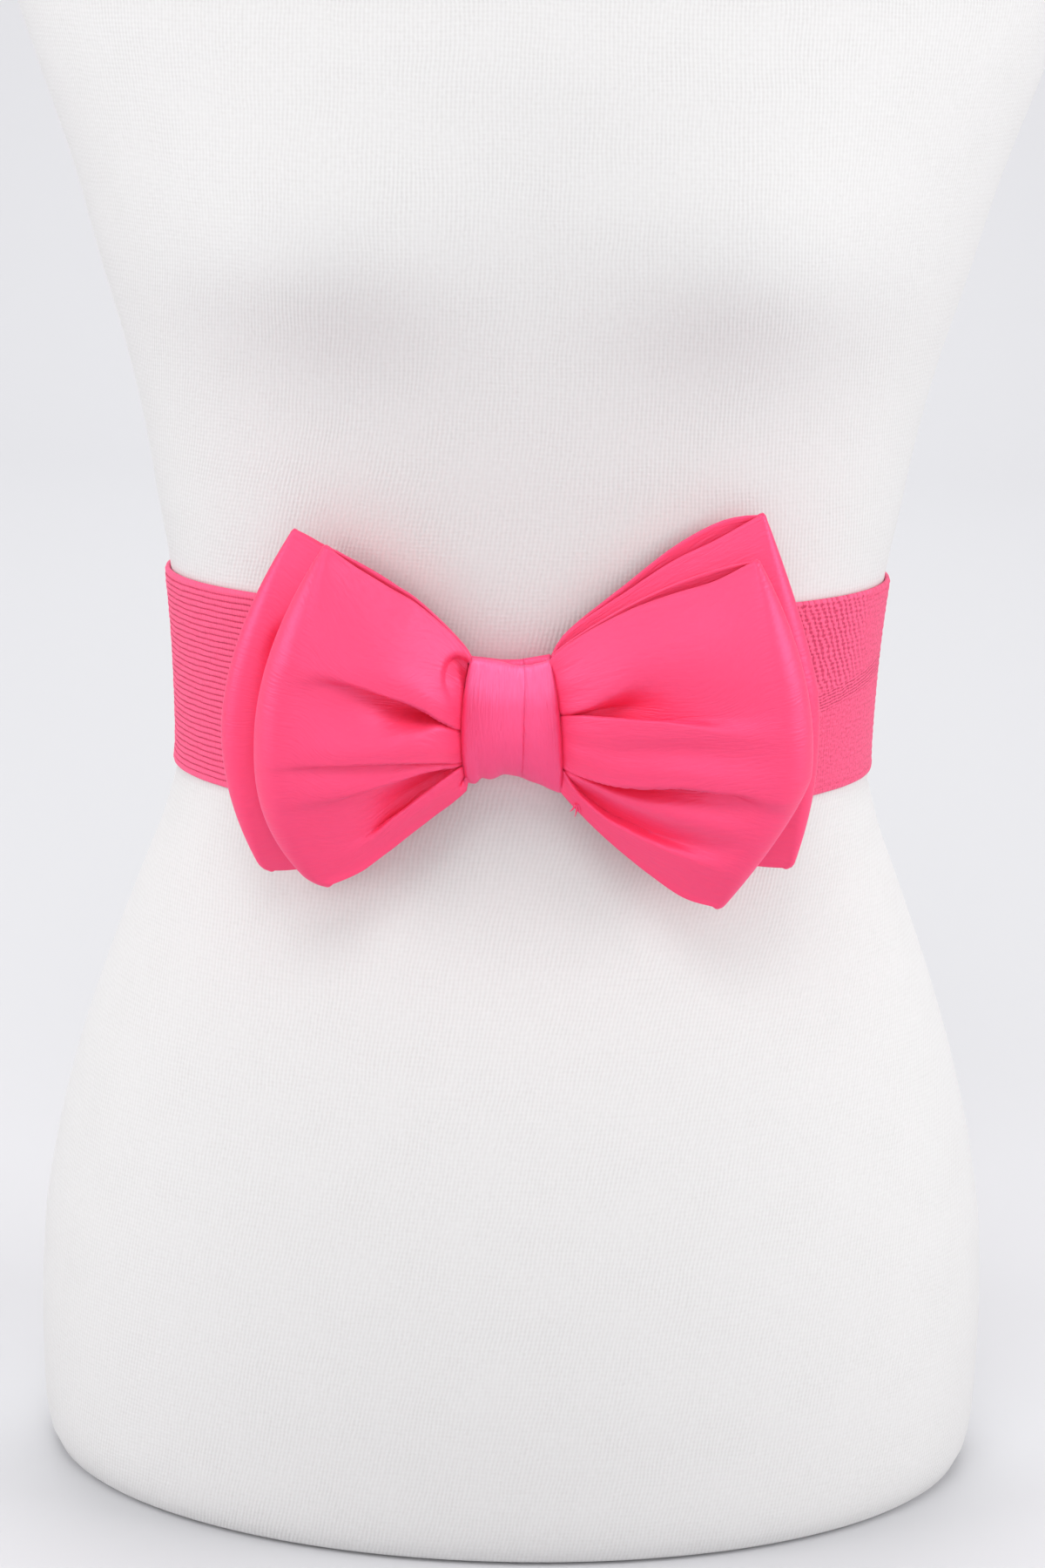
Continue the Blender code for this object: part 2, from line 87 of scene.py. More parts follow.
def smooth_through(places: Any, values: Any, at: np.ndarray | float) -> np.ndarray:
    """Read a smooth curve through some values, with no overshoot between them.

    Args:
        places: Rising places of the values.
        values: The values at those places.
        at: Where the curve is read.

    Returns:
        The curve's values.
    """
    places = np.asarray(places, float)
    values = np.asarray(values, float)
    at = np.asarray(at, float)
    steps = np.diff(places)
    slopes = np.diff(values) / steps
    product = slopes[:-1] * slopes[1:]
    total = np.where(product > 0, slopes[:-1] + slopes[1:], 1.0)
    inner = np.where(product > 0, 2.0 * product / total, 0.0)
    tangents = np.concatenate([slopes[:1], inner, slopes[-1:]])
    index = np.clip(np.searchsorted(places, at, side="right") - 1, 0, len(steps) - 1)
    step = steps[index]
    u = np.clip((at - places[index]) / step, 0.0, 1.0)
    start = (1 + 2 * u) * (1 - u) ** 2 * values[index] + u * (1 - u) ** 2 * step * tangents[index]
    end = u * u * (3 - 2 * u) * values[index + 1] - u * u * (1 - u) * step * tangents[index + 1]
    return start + end


def closed_curve(points: np.ndarray, count: int) -> np.ndarray:
    """Draw a smooth closed curve through points, at even steps of its length.

    Args:
        points: The points, one a row.
        count: How many points the curve gets.

    Returns:
        The curve's points.
    """
    before, after, beyond = (np.roll(points, shift, axis=0) for shift in (1, -1, -2))
    t = np.linspace(0, 1, 24, endpoint=False)[None, :, None]
    p0, p1, p2, p3 = (p[:, None, :] for p in (before, points, after, beyond))
    fine = 0.5 * (
        2 * p1
        + (p2 - p0) * t
        + (2 * p0 - 5 * p1 + 4 * p2 - p3) * t**2
        + (3 * p1 - p0 - 3 * p2 + p3) * t**3
    )
    fine = fine.reshape(-1, points.shape[1])
    closed = np.vstack([fine, fine[:1]])
    length = running(np.linalg.norm(np.diff(closed, axis=0), axis=1))
    at = np.linspace(0, length[-1], count, endpoint=False)
    return np.column_stack([np.interp(at, length, column) for column in closed.T])


def unit(vectors: np.ndarray) -> np.ndarray:
    """Scale vectors to length 1."""
    return vectors / np.maximum(np.linalg.norm(vectors, axis=-1, keepdims=True), 1e-9)


class FoldOver(NamedTuple):
    """What a fold does to the cloth at some places across it."""

    drawn: np.ndarray  # how far the cloth is drawn in
    shift: np.ndarray  # how far it is moved across, towards the lip's side


class FoldShape(NamedTuple):
    """The section of a fold that hangs over a trough, in millimetres."""

    depth: float  # of the trough
    over: float  # how far the cloth travels back under its lip
    turn: float  # half the width of the steep side
    flat: float  # width of the trough's floor, seen past the lip
    soft: float  # width of the trough's far side


def fold_over(distance: np.ndarray, fold: FoldShape) -> FoldOver:
    """Fold cloth over itself along a line: a lip on one side stands over a trough on the other.

    Args:
        distance: Place across the fold, zero at the lip's edge and positive on its own side.
        fold: The fold's section.

    Returns:
        How far the cloth is drawn in, and how far it is moved across.
    """
    behind = max(fold.over - fold.turn, 0.0)
    u = (distance - behind) / fold.turn
    steep = 1 - smooth_step((u + 1) / 2)
    floor_end = max(fold.flat, fold.turn - behind)
    past = np.maximum(-distance - floor_end, 0.0)
    drawn = fold.depth * steep * hump(past, fold.soft)
    return FoldOver(drawn, -fold.over * u * np.exp(0.5 * (1 - u * u)))


def left_of_line(points: np.ndarray, line: np.ndarray) -> np.ndarray:
    """Find the points that lie on the left of an open line of straight steps.

    Args:
        points: The points, one a row.
        line: The line's points, one a row.

    Returns:
        Whether each point lies there.
    """
    steps = np.diff(line, axis=0)
    off = points[:, None] - line[:-1]
    held = np.clip((off * steps).sum(-1) / (steps**2).sum(-1), 0, 1)
    off = off - steps * held[..., None]
    nearest = np.argmin(np.hypot(off[..., 0], off[..., 1]), axis=1)
    cross = steps[:, 0] * off[..., 1] - steps[:, 1] * off[..., 0]
    return cross[np.arange(len(points)), nearest] > 0


# ---------------------------------------------------------------- nodes and finishes


def linear(hex_colour: str) -> tuple[float, float, float, float]:
    """Turn an sRGB hex colour to linear.

    Args:
        hex_colour: Six hex digits after a hash sign.

    Returns:
        Red, green, blue and an alpha of 1.
    """
    channels = [int(hex_colour[i : i + 2], 16) / 255 for i in (1, 3, 5)]
    red, green, blue = (
        c / 12.92 if c <= 0.04045 else ((c + 0.055) / 1.055) ** 2.4 for c in channels
    )
    return red, green, blue, 1.0


def add_node(
    tree: Tree, kind: str, inputs: dict[Any, Any], output: int = 0, **settings: Any
) -> Socket:
    """Add a node with its settings and its links.

    Args:
        tree: The node tree it joins.
        kind: The node's type name.
        inputs: A value or another node's output, by the name or number of a socket.
        output: The number of the output that is wanted.
        **settings: The node's own properties.

    Returns:
        The wanted output.
    """
    node = tree.nodes.new(kind)
    for name, value in settings.items():
        setattr(node, name, value)
    for socket, value in inputs.items():
        if isinstance(value, Socket):
            tree.links.new(value, node.inputs[socket])
        else:
            node.inputs[socket].default_value = value
    return node.outputs[output]


def cloth_place(tree: Tree) -> tuple[Socket, Socket, Socket]:
    """Read the place on the flat cloth, in metres.

    Args:
        tree: The material's node tree.

    Returns:
        The whole coordinate, the place along the cloth and the place across it.
    """
    place = add_node(tree, "ShaderNodeUVMap", {}, uv_map=CLOTH_MAP)
    along = add_node(tree, "ShaderNodeSeparateXYZ", {0: place})
    return place, along, along.node.outputs[1]


def sine_lines(tree: Tree, place: Socket, pitch: float, waver: Socket | float) -> Socket:
    """Draw soft even lines, at a pitch in millimetres, that waver by an angle in radians."""
    angle = add_node(tree, MATH, {0: place, 1: 2 * math.pi / (pitch * MM), 2: waver}, **OVER)
    return add_node(tree, MATH, {0: angle}, operation="SINE")


def cloth_noise(tree: Tree, place: Socket, size: float, detail: float, reach: float) -> Socket:
    """Draw soft noise on the cloth.

    Args:
        tree: The material's node tree.
        place: The coordinate in metres.
        size: Size of its patches in millimetres.
        detail: How many finer layers it has.
        reach: Distance between its lowest and its highest value.

    Returns:
        A value of about minus half to half the reach.
    """
    inputs = {"Vector": place, "Scale": 1 / (size * MM), "Detail": detail}
    noise = add_node(tree, "ShaderNodeTexNoise", inputs)
    return add_node(tree, MATH, {0: noise, 1: reach, 2: -reach / 2}, **OVER)


class Stretch(NamedTuple):
    """A stretch of the cloth in one direction, in millimetres."""

    middle: float
    half: float
    fade: float  # the length over which a pattern fades out past it


def shown_on(tree: Tree, place: Socket, stretch: Stretch) -> Socket:
    """Say where a pattern shows: fully on one stretch, and fading out beyond.

    Args:
        tree: The material's node tree.
        place: The place along one direction of the cloth, in metres.
        stretch: The stretch in that direction.

    Returns:
        A value from 0 to 1.
    """
    away = add_node(tree, MATH, {0: place, 1: stretch.middle * MM}, operation="SUBTRACT")
    size = add_node(tree, MATH, {0: away}, operation="ABSOLUTE")
    ends = {"From Min": stretch.half * MM, "From Max": (stretch.half + stretch.fade) * MM}
    limits = {**ends, "To Min": 1.0, "To Max": 0.0}
    return add_node(tree, RANGE, {0: size, **limits}, interpolation_type="SMOOTHSTEP")


@dataclass(frozen=True)
class Finish:
    """A surface: what it is made of and how it meets the light."""

    name: str
    colour: str
    roughness: float
    ior: float
    sheen: float
    sheen_tint: str

    def material(self) -> bpy.types.Material:
        """Make the material, or give the one that was made before.

        Returns:
            The finished material.
        """
        made = bpy.data.materials.get(self.name)
        if made:
            return made
        material = bpy.data.materials.new(self.name)
        material.use_nodes = True
        material.diffuse_color = linear(self.colour)
        shader = material.node_tree.nodes["Principled BSDF"]
        values = {
            "Base Color": linear(self.colour),
            "Metallic": 0.0,
            "Roughness": self.roughness,
            "IOR": self.ior,
            "Sheen Weight": self.sheen,
            "Sheen Tint": linear(self.sheen_tint),
        }
        for socket, value in values.items():
            shader.inputs[socket].default_value = value
        self.dress(material.node_tree, shader)
        return material

    def dress(self, tree: Tree, shader: bpy.types.Node) -> None:
        """Add the surface's own detail; a plain surface has none."""


class Tones(NamedTuple):
    """How a pattern darkens a colour: most at one of its values, and not at all at another."""

    dark: float
    light: float
    share: float  # of the darker colour, where it is most


@dataclass(frozen=True)
class Cloth(Finish):
    """A woven surface: its pattern darkens the colour and stands up in fine relief."""

    shade: str
    tones: Tones
    relief: float  # in millimetres
    strength: float = 1.0  # of the relief

    def ground(self, tree: Tree) -> Socket | tuple[float, ...]:
        """Give the colour of its highest threads: the same all over, unless a cloth says else."""
        return linear(self.colour)

    def lay(self, tree: Tree, shader: bpy.types.Node, pattern: Socket, height: Socket) -> None:
        """Colour the cloth by a pattern and raise it by a height.

        Args:
            tree: The material's node tree.
            shader: Its Principled shader.
            pattern: What darkens the colour.
            height: What stands up.
        """
        dark, light, share = self.tones
        limits = {"From Min": dark, "From Max": light, "To Min": share, "To Max": 0.0}
        amount = add_node(tree, RANGE, {0: pattern, **limits})
        tones = {"Factor": amount, 6: self.ground(tree), 7: linear(self.shade)}
        colour = add_node(tree, "ShaderNodeMix", tones, 2, data_type="RGBA")
        raised = {"Height": height, "Distance": self.relief * MM, "Strength": self.strength}
        normal = add_node(tree, "ShaderNodeBump", raised)
        tree.links.new(colour, shader.inputs["Base Color"])
        tree.links.new(normal, shader.inputs["Normal"])


@dataclass(frozen=True)
class CharmeuseSatin(Cloth):
    """Polyester charmeuse, satin woven and heat set: a soft coloured sheen over smooth cloth."""

    crinkle: float = 0.85  # of the threads: real ones are 0.1 mm apart; drawn coarser to show
    crinkle_stretch: float = 0.16
    crinkle_reach: float = 1.6
    patch: float = 7.0  # where the cloth took a little more or less dye
    patch_reach: float = 0.6
    gloss_tint: str = "#ffaaf0"
    glow: float = 0.3  # light that wanders in the fibres and comes back redder
    glow_reach: tuple[float, float, float] = (1.0, 0.15, 0.22)
    glow_depth: float = 3.0

    def dress(self, tree: Tree, shader: bpy.types.Node) -> None:
        """Fine threads along the band, and a slight unevenness of colour and gloss.

        Args:
            tree: The material's node tree.
            shader: Its Principled shader.
        """
        place, _, _ = cloth_place(tree)
        scale = (self.crinkle_stretch, 1.0, 1.0)
        drawn = add_node(tree, "ShaderNodeVectorMath", {0: place, 1: scale}, operation="MULTIPLY")
        threads = cloth_noise(tree, drawn, self.crinkle, 2.0, self.crinkle_reach)
        patches = cloth_noise(tree, place, self.patch, 3.0, self.patch_reach)
        mixed = add_node(tree, MATH, {0: threads, 1: patches}, operation="ADD")
        self.lay(tree, shader, mixed, threads)
        shader.inputs["Specular IOR Level"].default_value = 1.0
        shader.inputs["Specular Tint"].default_value = linear(self.gloss_tint)
        shader.inputs["Subsurface Weight"].default_value = self.glow
        shader.inputs["Subsurface Radius"].default_value = self.glow_reach
        shader.inputs["Subsurface Scale"].default_value = self.glow_depth * MM


@dataclass(frozen=True)
class SatinWithPaintedHighlight(CharmeuseSatin):
    """The same satin round a knot, with a painted highlight: paler over the crown, where the sheen
    falls.
    """

    # pale is the painted highlight's colour; crown is where along the strip it is painted
    pale: str = "#ff6698"
    crown: Stretch = Stretch(84.0, 2.0, 9.0)  # along the strip

    def ground(self, tree: Tree) -> Socket | tuple[float, ...]:
        """Paint a highlight into the colour: paler over the knot's crown.

        Args:
            tree: The material's node tree.

        Returns:
            The colour.
        """
        _, along, _ = cloth_place(tree)
        # where the painted highlight shows, fading out past the crown
        flat = shown_on(tree, along, self.crown)
        tones = {"Factor": flat, 6: linear(self.colour), 7: linear(self.pale)}
        return add_node(tree, "ShaderNodeMix", tones, 2, data_type="RGBA")


@dataclass(frozen=True)
class RibbedElastic(Cloth):
    """Rubber cords covered with polyester yarn, woven in ribs: matt, with fine upright picks."""

    rib_pitch: float = 2.0
    rib_start: float = 1.5  # from the lower edge to the middle of the first groove
    groove_width: tuple[float, float] = (0.6, 1.0)  # values of the wave where a groove begins
    # how deep the grooves go, in relief and as painted shade in the colour
    groove_depth_and_painted_shade: float = 1.3
    pick_pitch: float = 1.1  # real picks are 0.5 mm apart; drawn coarser to show
    pick_share: float = 0.2
    patch: float = 1.6
    plain: float = 0.85  # how far the ribs are drawn flat at the right, where the bow pulls
    plain_part: Stretch = Stretch(107.0, 45.0, 25.0)
    cell_pitch: float = 2.6  # of the upright wrinkles there
    cell_slant: float = 0.5
    cell_rows: float = 1.5
    row_share: float = 0.6
    cell_along: Stretch = Stretch(92.0, 18.0, 22.0)
    cell_across: Stretch = Stretch(62.0, 20.0, 16.0)
    crepe: float = 0.9  # size of the grain between them
    crepe_shade: float = -0.35
    strain_pitch: float = 1.1  # of the fine slanting lines that cross it
    strain_slant: float = -0.18
    strain_part: Stretch = Stretch(11.8, 2.0, 2.5)

    def dress(self, tree: Tree, shader: bpy.types.Node) -> None:
        """Grooves, painted darker as shade, and upright picks, and the strained part where wrinkles
        take their place.

        Args:
            tree: The material's node tree.
            shader: Its Principled shader.
        """
        place, along, across = cloth_place(tree)
        picks = sine_lines(tree, along, self.pick_pitch, cloth_noise(tree, place, 6.0, 2.0, 9.0))
        patches = cloth_noise(tree, place, self.patch, 3.0, 1.2)
        fine = add_node(tree, MATH, {0: picks, 1: self.pick_share, 2: patches}, **OVER)
        flat = shown_on(tree, along, self.plain_part)
        strains = self.strained(tree, flat)
        detail = add_node(tree, MATH, {0: fine, 1: strains}, operation="ADD")
        start = (self.rib_start - self.rib_pitch / 4) * MM
        from_groove = add_node(tree, MATH, {0: across, 1: start}, operation="SUBTRACT")
        ribs = sine_lines(tree, from_groove, self.rib_pitch, 0.0)
        low, high = self.groove_width
        limits = {"From Min": low, "From Max": high, "To Min": 0.0, "To Max": self.groove_depth_and_painted_shade}
        grooves = add_node(tree, RANGE, {0: ribs, **limits}, interpolation_type="SMOOTHSTEP")
        ribbed = add_node(tree, MATH, {0: flat, 1: -self.plain, 2: 1.0}, **OVER)
        shown = add_node(tree, MATH, {0: grooves, 1: ribbed, 2: 0.0}, **OVER)
        height = add_node(tree, MATH, {0: detail, 1: shown}, operation="SUBTRACT")
        # The height also sets the colour: painted shade in the grooves, and the picks' and patches'
        # own texture.
        self.lay(tree, shader, height, height)

    def strained(self, tree: Tree, flat: Socket) -> Socket:
        """Slanting wrinkles, a fine grain and the thin lines that cross them.

        Args:
            tree: The material's node tree.
            flat: Where the elastic is strained.

        Returns:
            How far they stand up.
        """
        place, along, across = cloth_place(tree)
        waver = cloth_noise(tree, place, 4.0, 2.0, 7.0)
        slanted = add_node(tree, MATH, {0: across, 1: self.cell_slant, 2: along}, **OVER)
        cells = sine_lines(tree, slanted, self.cell_pitch, waver)
        rows = sine_lines(tree, across, self.cell_rows, waver)
        checks = add_node(tree, MATH, {0: rows, 1: self.row_share, 2: cells}, **OVER)
        on_across = shown_on(tree, across, self.cell_across)
        on_along = shown_on(tree, along, self.cell_along)
        pulled = add_node(tree, MATH, {0: on_along, 1: on_across, 2: 0.0}, **OVER)
        grain = cloth_noise(tree, place, self.crepe, 2.0, 2.6)
        shaded = add_node(tree, MATH, {0: flat, 1: self.crepe_shade, 2: 0.0}, **OVER)
        crepe = add_node(tree, MATH, {0: grain, 1: flat, 2: shaded}, **OVER)
        wrinkles = add_node(tree, MATH, {0: checks, 1: pulled, 2: crepe}, **OVER)
        rising = add_node(tree, MATH, {0: along, 1: self.strain_slant, 2: across}, **OVER)
        lines = sine_lines(tree, rising, self.strain_pitch, waver)
        on_rising = shown_on(tree, rising, self.strain_part)
        on_lines = add_node(tree, MATH, {0: on_rising, 1: flat, 2: 0.0}, **OVER)
        return add_node(tree, MATH, {0: lines, 1: on_lines, 2: wrinkles}, **OVER)


@dataclass(frozen=True)
class WovenCover(Cloth):
    """Bleached cotton in plain weave, drawn tight over the form: matt white with a fine grid."""

    upright_pitch: float = 1.3  # real threads are 0.5 mm apart; drawn coarser to show
    level_pitch: float = 1.4
    level_share: float = 0.35
    slub: float = 1.5  # size of the thicker places in the yarn
    slub_reach: float = 3.0
    patch: float = 18.0  # where the cover is drawn tighter or looser
    patch_reach: float = 2.0

    def dress(self, tree: Tree, shader: bpy.types.Node) -> None:
        """The grid of the weave, in relief and as slightly darker gaps between threads.

        Args:
            tree: The material's node tree.
            shader: Its Principled shader.
        """
        place, along, across = cloth_place(tree)
        waver = cloth_noise(tree, place, 25.0, 2.0, 14.0)
        upright = sine_lines(tree, along, self.upright_pitch, waver)
        level = sine_lines(tree, across, self.level_pitch, waver)
        slubs = cloth_noise(tree, place, self.slub, 4.0, self.slub_reach)
        grid = add_node(tree, MATH, {0: level, 1: self.level_share, 2: upright}, **OVER)
        patches = cloth_noise(tree, place, self.patch, 2.0, self.patch_reach)
        uneven = add_node(tree, MATH, {0: grid, 1: patches, 2: grid}, **OVER)
        height = add_node(tree, MATH, {0: uneven, 1: slubs}, operation="ADD")
        self.lay(tree, shader, height, height)


# Long floats of fine filament lie side by side, so light comes back broad, soft and a little lilac.
SATIN = CharmeuseSatin(
    name="polyester_charmeuse_satin_woven", colour="#ff395e", shade="#f43560", roughness=0.52,
    ior=1.7, sheen=0.15, sheen_tint="#ff90e4", tones=Tones(-0.5, 0.5, 0.5), relief=0.13,
)
# The same cloth with its floats upright round the wrap, so its gloss is narrower; its colours are
# painted lighter than the bow's, as painted sheen.
SHEEN_PAINTED_SATIN = SatinWithPaintedHighlight(
    name="polyester_charmeuse_satin_painted_sheen", colour="#ff4470", shade="#f83964", roughness=0.4,
    ior=1.7, sheen=0.15, sheen_tint="#ff9be4", tones=Tones(-0.5, 0.5, 0.5), relief=0.13,
)
# Textured yarn hides the rubber: the ribs' crowns look dull and pale; the grooves' deep pink is
# painted shade.
ELASTIC = RibbedElastic(
    name="covered_rubber_elastic_rib_woven", colour="#f95b87", shade="#c22453", roughness=0.72,
    ior=1.45, sheen=0.15, sheen_tint="#ffb3cb", tones=Tones(-1.5, 0.1, 0.9), relief=0.1,
)
# Short hairs on spun threads scatter the light: flat white, greyer in the gaps of the weave.
COVER = WovenCover(
    name="bleached_cotton_plain_woven", colour="#dfdede", shade="#bab5b3", roughness=0.85,
    ior=1.45, sheen=0.1, sheen_tint="#ffffff", tones=Tones(-2.5, 1.0, 0.34), relief=0.06,
    strength=0.6,
)
# Uncoated paper: no gloss at all, an even pale grey.
PAPER = Finish(
    name="seamless_paper_matt", colour="#d0d0d3", roughness=0.95, ior=1.45, sheen=0.0,
    sheen_tint="#ffffff",
)


# ---------------------------------------------------------------- meshes


def in_scene(name: str, data: bpy.types.ID) -> bpy.types.Object:
    """Put an object with its data in the scene.

    Args:
        name: The object's name.
        data: Its mesh, light or camera.

    Returns:
        The object.
    """
    obj = bpy.data.objects.new(name, data)
    bpy.context.scene.collection.objects.link(obj)
    return obj


def finished_object(mesh: bpy.types.Mesh, finish: Finish) -> bpy.types.Object:
    """Make an object of a mesh, smooth and with its finish.

    Args:
        mesh: The mesh, whose name the object takes.
        finish: What it is made of.

    Returns:
        The object.
    """
    mesh.materials.append(finish.material())
    mesh.shade_smooth()
    return in_scene(mesh.name, mesh)


class Grid(NamedTuple):
    """A mesh of quads: its points and the cloth places of its corners."""

    points: np.ndarray  # columns x rows x 3, in millimetres
    along: np.ndarray  # place along the cloth of each column's edge, for all rows or for each
    across: np.ndarray  # place across the cloth of each row's edge


def grid_object(name: str, grid: Grid, closed_rows: bool, finish: Finish) -> bpy.types.Object:
    """Make an object of a grid that is closed over its columns.

    Args:
        name: The object's name.
        grid: Its points, and its cloth places with one more column than points.
        closed_rows: Whether the last row joins the first; else both ends are capped flat.
        finish: What it is made of.

    Returns:
        The object, shaded smooth, with its cloth map.
    """
    columns, rows = grid.points.shape[:2]
    numbers = np.arange(columns * rows).reshape(columns, rows)
    i, j = np.meshgrid(
        np.arange(columns), np.arange(rows if closed_rows else rows - 1), indexing="ij"
    )
    i, j = i.ravel(), j.ravel()
    right, up = (i + 1) % columns, (j + 1) % rows
    quads = np.column_stack([numbers[i, j], numbers[right, j], numbers[right, up], numbers[i, up]])
    along = np.broadcast_to(grid.along.reshape(columns + 1, -1), (columns + 1, rows))
    u = np.column_stack([along[i, j], along[i + 1, j], along[i + 1, up], along[i, up]])
    v = np.column_stack([grid.across[j], grid.across[j], grid.across[j + 1], grid.across[j + 1]])
    places = np.stack([u, v], axis=-1).reshape(-1, 2)
    faces = quads.tolist()
    if not closed_rows:
        for ring in (numbers[::-1, 0], numbers[:, -1]):
            faces.append(ring.tolist())
            places = np.vstack([places, grid.points.reshape(-1, 3)[ring, :2]])
    mesh = bpy.data.meshes.new(name)
    mesh.from_pydata((grid.points.reshape(-1, 3) * MM).tolist(), [], faces)
    cloth = mesh.uv_layers.new(name=CLOTH_MAP)
    cloth.data.foreach_set("uv", (places * MM).astype(np.float32).ravel())
    return finished_object(mesh, finish)


@dataclass
class Band:
    """Cloth closed into a ring: its middle surface and how far its two faces stand off it."""

    middle: np.ndarray  # columns x rows x 3, columns anticlockwise seen along the rows
    outward: np.ndarray  # columns x rows
    inward: np.ndarray
    across: np.ndarray  # place of each row across the flat cloth
    edge_steps: int = 3
    easings: int = 10  # how often the cloth may be thinned inside a bend
    thinner: float = 0.7  # what one of them leaves
    tightest: float = 0.25  # shortest step of a face, as a share of the middle surface's

    def normals(self) -> np.ndarray:
        """Unit vectors out of the ring at every point."""
        round_ring = np.roll(self.middle, -1, axis=0) - np.roll(self.middle, 1, axis=0)
        return unit(np.cross(round_ring, np.gradient(self.middle, axis=1)))

    def eased(self, normals: np.ndarray, offset: np.ndarray) -> np.ndarray:
        """Thin the cloth inside its sharpest bends, where a face would cross itself.

        Args:
            normals: The directions that the offset is taken along.
            offset: How far the face stands off the middle surface, with its sign.

        Returns:
            The offset, smaller in those bends.
        """
        steps = (np.roll(self.middle, -1, axis=0) - self.middle, np.diff(self.middle, axis=1))
        for _ in range(self.easings):
            face = self.middle + normals * offset[..., None]
            moved = (np.roll(face, -1, axis=0) - face, np.diff(face, axis=1))
            tight = [
                (new * old).sum(-1) < self.tightest * (old**2).sum(-1)
                for new, old in zip(moved, steps)
            ]
            folded = tight[0] | np.roll(tight[0], 1, axis=0)
            folded[:, 1:] |= tight[1]
            folded[:, :-1] |= tight[1]
            if not folded.any():
                break
            offset = np.where(folded, offset * self.thinner, offset)
        return offset

    def grid(self) -> Grid:
        """Close the two faces over the cloth's edges, which are round.

        Returns:
            The grid of the closed ring, closed over its rows too.
        """
        normals = self.normals()
        outer = self.middle + normals * self.eased(normals, self.outward)[..., None]
        inner = self.middle + normals * self.eased(normals, -self.inward)[..., None]
        angles = np.linspace(0, math.pi, self.edge_steps + 2)[1:-1]
        ends = []
        for end, beside in ((-1, -2), (0, 1)):
            beyond = unit(self.middle[:, end] - self.middle[:, beside])
            centre = (outer[:, end] + inner[:, end]) / 2
            half = np.linalg.norm(outer[:, end] - inner[:, end], axis=1, keepdims=True) / 2
            turned = [
                centre + (normals[:, end] * math.cos(a) + beyond * math.sin(a)) * half
                for a in angles
            ]
            ends.append(np.stack(turned if end else turned[::-1], axis=1))
        points = np.concatenate([outer, ends[0], inner[:, ::-1], ends[1]], axis=1)
        length = np.linalg.norm(np.roll(self.middle, -1, axis=0) - self.middle, axis=2)
        top = np.full(len(angles), self.across[-1])
        bottom = np.full(len(angles) + 1, self.across[0])
        across = np.concatenate([self.across, top, self.across[::-1], bottom])
        return Grid(points, running(length.mean(axis=1)), across)


def ride(piece: bpy.types.Object, slot: str, *nodes: str) -> None:
    """Fix a piece to the one body, and let it stand for CAD nodes.

    Args:
        piece: The piece.
        slot: A material slot's name; it is not used.
        nodes: The nodes that it stands for.
    """
    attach(piece, BODY)
    if nodes:
        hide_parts(*nodes)
    log.info("%s: %d points", piece.name, len(piece.data.vertices))


# ---------------------------------------------------------------- the dress form


class FormSection(NamedTuple):
    """One horizontal section of the form: two half ellipses that share a width."""

    height: float
    half_width: float
    front: float
    back: float


FORM_SECTIONS = tuple(FormSection(*row) for row in (
    (0, 151.5, 105.5, 106),  # flat underside
    (3, 155, 108, 109),
    (9, 157.5, 110, 111.5),
    (20, 159, 111.5, 114),
    (50, 159.7, 112.5, 118),  # hips
    (80, 158.5, 111.5, 119),
    (110, 154, 109, 115.5),
    (140, 146.8, 104.5, 108),
    (170, 137.3, 98, 98),
    (200, 126.2, 89.5, 87),
    (225, 117, 83, 79),
    (245, 113, 80.3, 76),  # waist
    (270, 113.8, 79.8, 76),
    (302, 116.5, 80.6, 79),
    (325, 120.6, 83, 83),
    (350, 125, 87.5, 88),
    (375, 131, 92.5, 93),
    (400, 138.5, 97, 97),
    (430, 147, 100.5, 100.5),  # chest
    (460, 157.5, 101, 103),
    (490, 168, 97.5, 104),
    (520, 177.5, 91, 103.5),
    (550, 183.5, 83, 101),  # shoulders
    (575, 181, 74, 96),
    (595, 169, 65, 88),
    (612, 147, 57.5, 79),
    (626, 117, 52, 71),
    (640, 85, 48.5, 62),
    (655, 64.5, 47, 54.5),
    (672, 57, 46, 50),
    (700, 55, 45, 48),  # flat top of the neck
))


